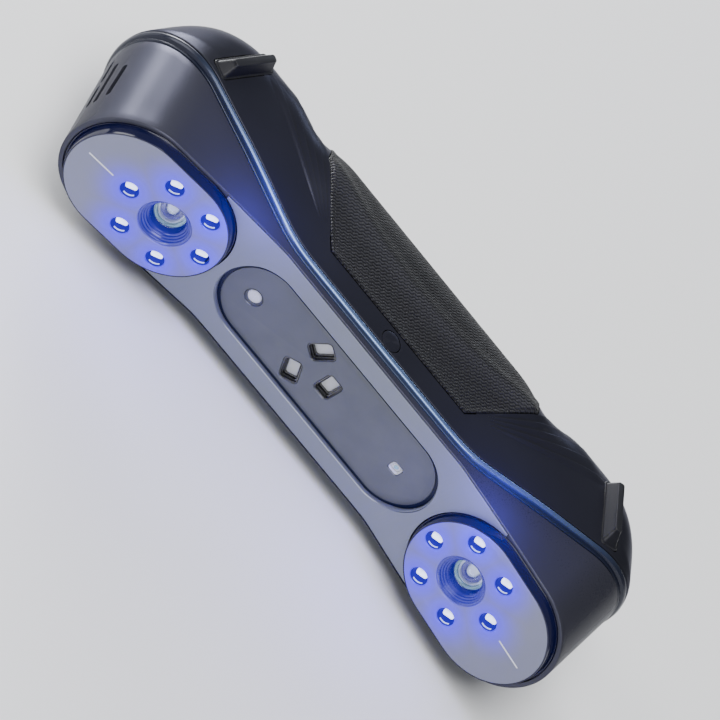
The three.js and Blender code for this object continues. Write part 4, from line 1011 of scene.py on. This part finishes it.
def key_cap(name, x, radius, sign):
    """Rubber key with a soft rim, a shallow dish and a raised generic sign."""
    face, flange, place = BUTTON_FACE, KEYPAD_FACE - KEYPAD_THICK - GAP, on_face(x, 0)
    rim, skirt, stem = radius - 0.5, radius + 0.6, 1.5
    levels = [(stem, SWITCH_TOP + BUTTON_TRAVEL + 0.1), (stem, flange - 0.8), (skirt, flange - 0.8),
              (skirt, flange), (radius, flange), (radius, face - 0.55), (radius - 0.05, face - 0.3),
              (radius - 0.2, face - 0.1), (radius - 0.4, face)]
    levels += [(rim * t, face - DISH_DEPTH * (1 - t * t)) for t in (1, 0.85, 0.65, 0.45, 0.25, 0.01)]
    body = f"{name}_key"
    build(f"{body}_cap", circle_of, levels, place, button_rubber, "button_rubber", f"{name}_button",
          body=body)
    for k, (width, height) in enumerate(sign, 1):
        bar = rect_shape(width, height, min(width, height) / 2 - 0.02, 4)
        levels = [(0, face - 0.6), (0, face - 0.12)]
        build(f"{body}_sign_{k}", bar, levels, place, mark_white, "button_rubber", body=body)


def keypad():
    face = KEYPAD_FACE
    deck = stack("keypad_deck", keypad_shape, slab(face - KEYPAD_THICK, face, 0.35), MIDDLE, black_plastic)
    cutters = []
    for _, x, radius, _ in KEYS:
        hole = radius + GAP
        mouth = [(hole, 50), (hole, face - 0.3), (hole + 0.25, face), (radius + GAP + 0.4, 90)]
        cutters.append(stack("cutter", circle_of, mouth, on_face(x, 0)))
    cutters.append(stack("cutter", rect_shape(*STATUS_SIZE), [(0, 50), (0, 90)], on_face(STATUS_X, 0)))
    finish_piece(cut(deck, *cutters), "black_plastic", "keypad_panel")
    for key in KEYS:
        key_cap(*key)


def tripod_plug():
    top, stem, disc = REAR_WAIST, 2.4, 1.6
    levels = [(stem, top - PLUG_DEPTH), (stem, top - disc), (PLUG_R, top - disc), (PLUG_R, top - 0.22),
              (PLUG_R - 0.07, top - 0.06), (PLUG_R - 0.22, top - 0.01), (2.0, top), (0.01, top)]
    place = Matrix.Translation((0, PLUG_Y, 0))
    build("plug_disc", circle_of, levels, place, rear_plastic, "button_rubber", "tripod_plug", body="plug")


# ---- assembly
front_shell()
front_plate()
seam_trim()
rear_shell()
grip_sleeve()
centre_panel()
keypad()
tripod_plug()
for side_name, side_sign in SIDES.items():
    place = head_matrix(side_sign)
    window_bezel(side_name, place)
    window_cover(side_name, place)
    lens_well(side_name, place)
    for number in range(1, LED_COUNT + 1):
        led_well(side_name, place, number)
    for flank_name, flank_sign in FLANKS.items():
        rubber_foot(side_name, side_sign, flank_name, flank_sign)
        fan_piece(f"fan_ridges_{side_name}_{flank_name}", side_sign, flank_sign)

KEPT = {
    circuit_board: [*[f"{part}_{side}" for part in ("led_board", "image_sensor") for side in SIDES],
                    "main_board", "button_board"],
    module_brass: [*[f"laser_module_{i}" for i in (1, 2, 3)], "tripod_insert"],
    black_plastic: ["pattern_projector", "colour_camera"],
    bench_metal: ["optical_bench", "heat_sink"],
    port_steel: ["usb_receptacle"],
    screw_steel: [f"shell_screw_{side}_{flank}" for side in SIDES for flank in FLANKS],
    status_glow: ["status_light"],
}
for material, names in KEPT.items():
    for node_name in names:
        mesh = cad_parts[node_name].data
        mesh.materials.clear()
        mesh.materials.append(material)


# ---- studio
def studio_floor():
    n = Nodes("studio_floor")
    soft = n.noise(3, 3)
    n.shade("Base Color", n.mix(soft, rgba((0.86, 0.87, 0.88)), rgba((0.90, 0.90, 0.91))))
    n.shade("Roughness", 0.75)
    mesh = bpy.data.meshes.new("studio_floor")
    reach = 12.0
    corners = [(-reach, -reach, 0), (reach, -reach, 0), (reach, reach, 0), (-reach, reach, 0)]
    mesh.from_pydata(corners, [], [(0, 1, 2, 3)])
    mesh.materials.append(n.material)
    floor = bpy.data.objects.new("studio_floor", mesh)
    bpy.context.scene.collection.objects.link(floor)


def area_light(name, place, target, size, power, colour=(1, 1, 1)):
    data = bpy.data.lights.new(name, "AREA")
    data.shape, data.size, data.size_y = "RECTANGLE", *size
    data.energy, data.color = power, colour
    light = bpy.data.objects.new(name, data)
    light.location = place
    light.rotation_euler = (Vector(target) - Vector(place)).to_track_quat("-Z", "Y").to_euler()
    bpy.context.scene.collection.objects.link(light)


def glow_light(name, place, power):
    """Blue light that spills from a camera head onto the housing beside it."""
    data = bpy.data.lights.new(name, "POINT")
    data.energy, data.color, data.shadow_soft_size = power, (0.10, 0.08, 1.0), 0.004
    light = bpy.data.objects.new(name, data)
    light.location = tuple(to_frame([place])[0])
    light.visible_camera = light.visible_glossy = False
    bpy.context.scene.collection.objects.link(light)


def studio():
    studio_floor()
    world = bpy.data.worlds.new("studio_world")
    world.use_nodes = True
    background = world.node_tree.nodes["Background"]
    background.inputs["Color"].default_value = (0.93, 0.95, 1.0, 1)
    background.inputs["Strength"].default_value = 0.22
    bpy.context.scene.world = world
    area_light("overhead_light", (-0.2, -0.5, 1.7), (0, -0.3, 0), (1.6, 1.2), 42)
    area_light("side_light", (-1.0, 0.1, 0.45), (-0.1, 0, 0.03), (0.35, 0.5), 4)
    area_light("back_light", (-0.66, 0.78, 0.38), (-0.09, 0, 0.03), (0.24, 0.5), 6, (0.96, 0.97, 1.0))
    area_light("cap_light", (-0.74, 0.78, 0.17), (-0.09, 0, 0.04), (0.42, 0.26), 12, (0.97, 0.98, 1.0))
    area_light("waist_light", (0.1, 0.9, 0.30), (0, 0, 0.03), (0.25, 0.12), 0.8, (0.80, 0.88, 1.0))
    for side_name, side in SIDES.items():
        glow_light(f"{side_name}_glow", (side * 46, -6, 22), 0.02)
        glow_light(f"{side_name}_flank_glow", (side * 52, 3, 33), 0.06)
    area_light("front_light", (0.1, -1.2, 0.12), (0, 0, 0.03), (1.2, 0.25), 5, (0.95, 0.97, 1.0))


def camera():
    data = bpy.data.cameras.new("camera")
    data.lens, data.sensor_width = 197.0, 36.0
    data.clip_start, data.clip_end = 0.05, 50
    eye = bpy.data.objects.new("camera", data)
    forward = Vector((0.181, 0.755, -0.630)).normalized()
    up = Vector((-0.759, 0.514, 0.399))
    up = (up - up.dot(forward) * forward).normalized()
    eye.matrix_world = basis(forward.cross(up), up, -forward, (-0.1974, -0.8365, 0.7216))
    bpy.context.scene.collection.objects.link(eye)
    bpy.context.scene.camera = eye


studio()
camera()
bpy.context.view_layer.update()
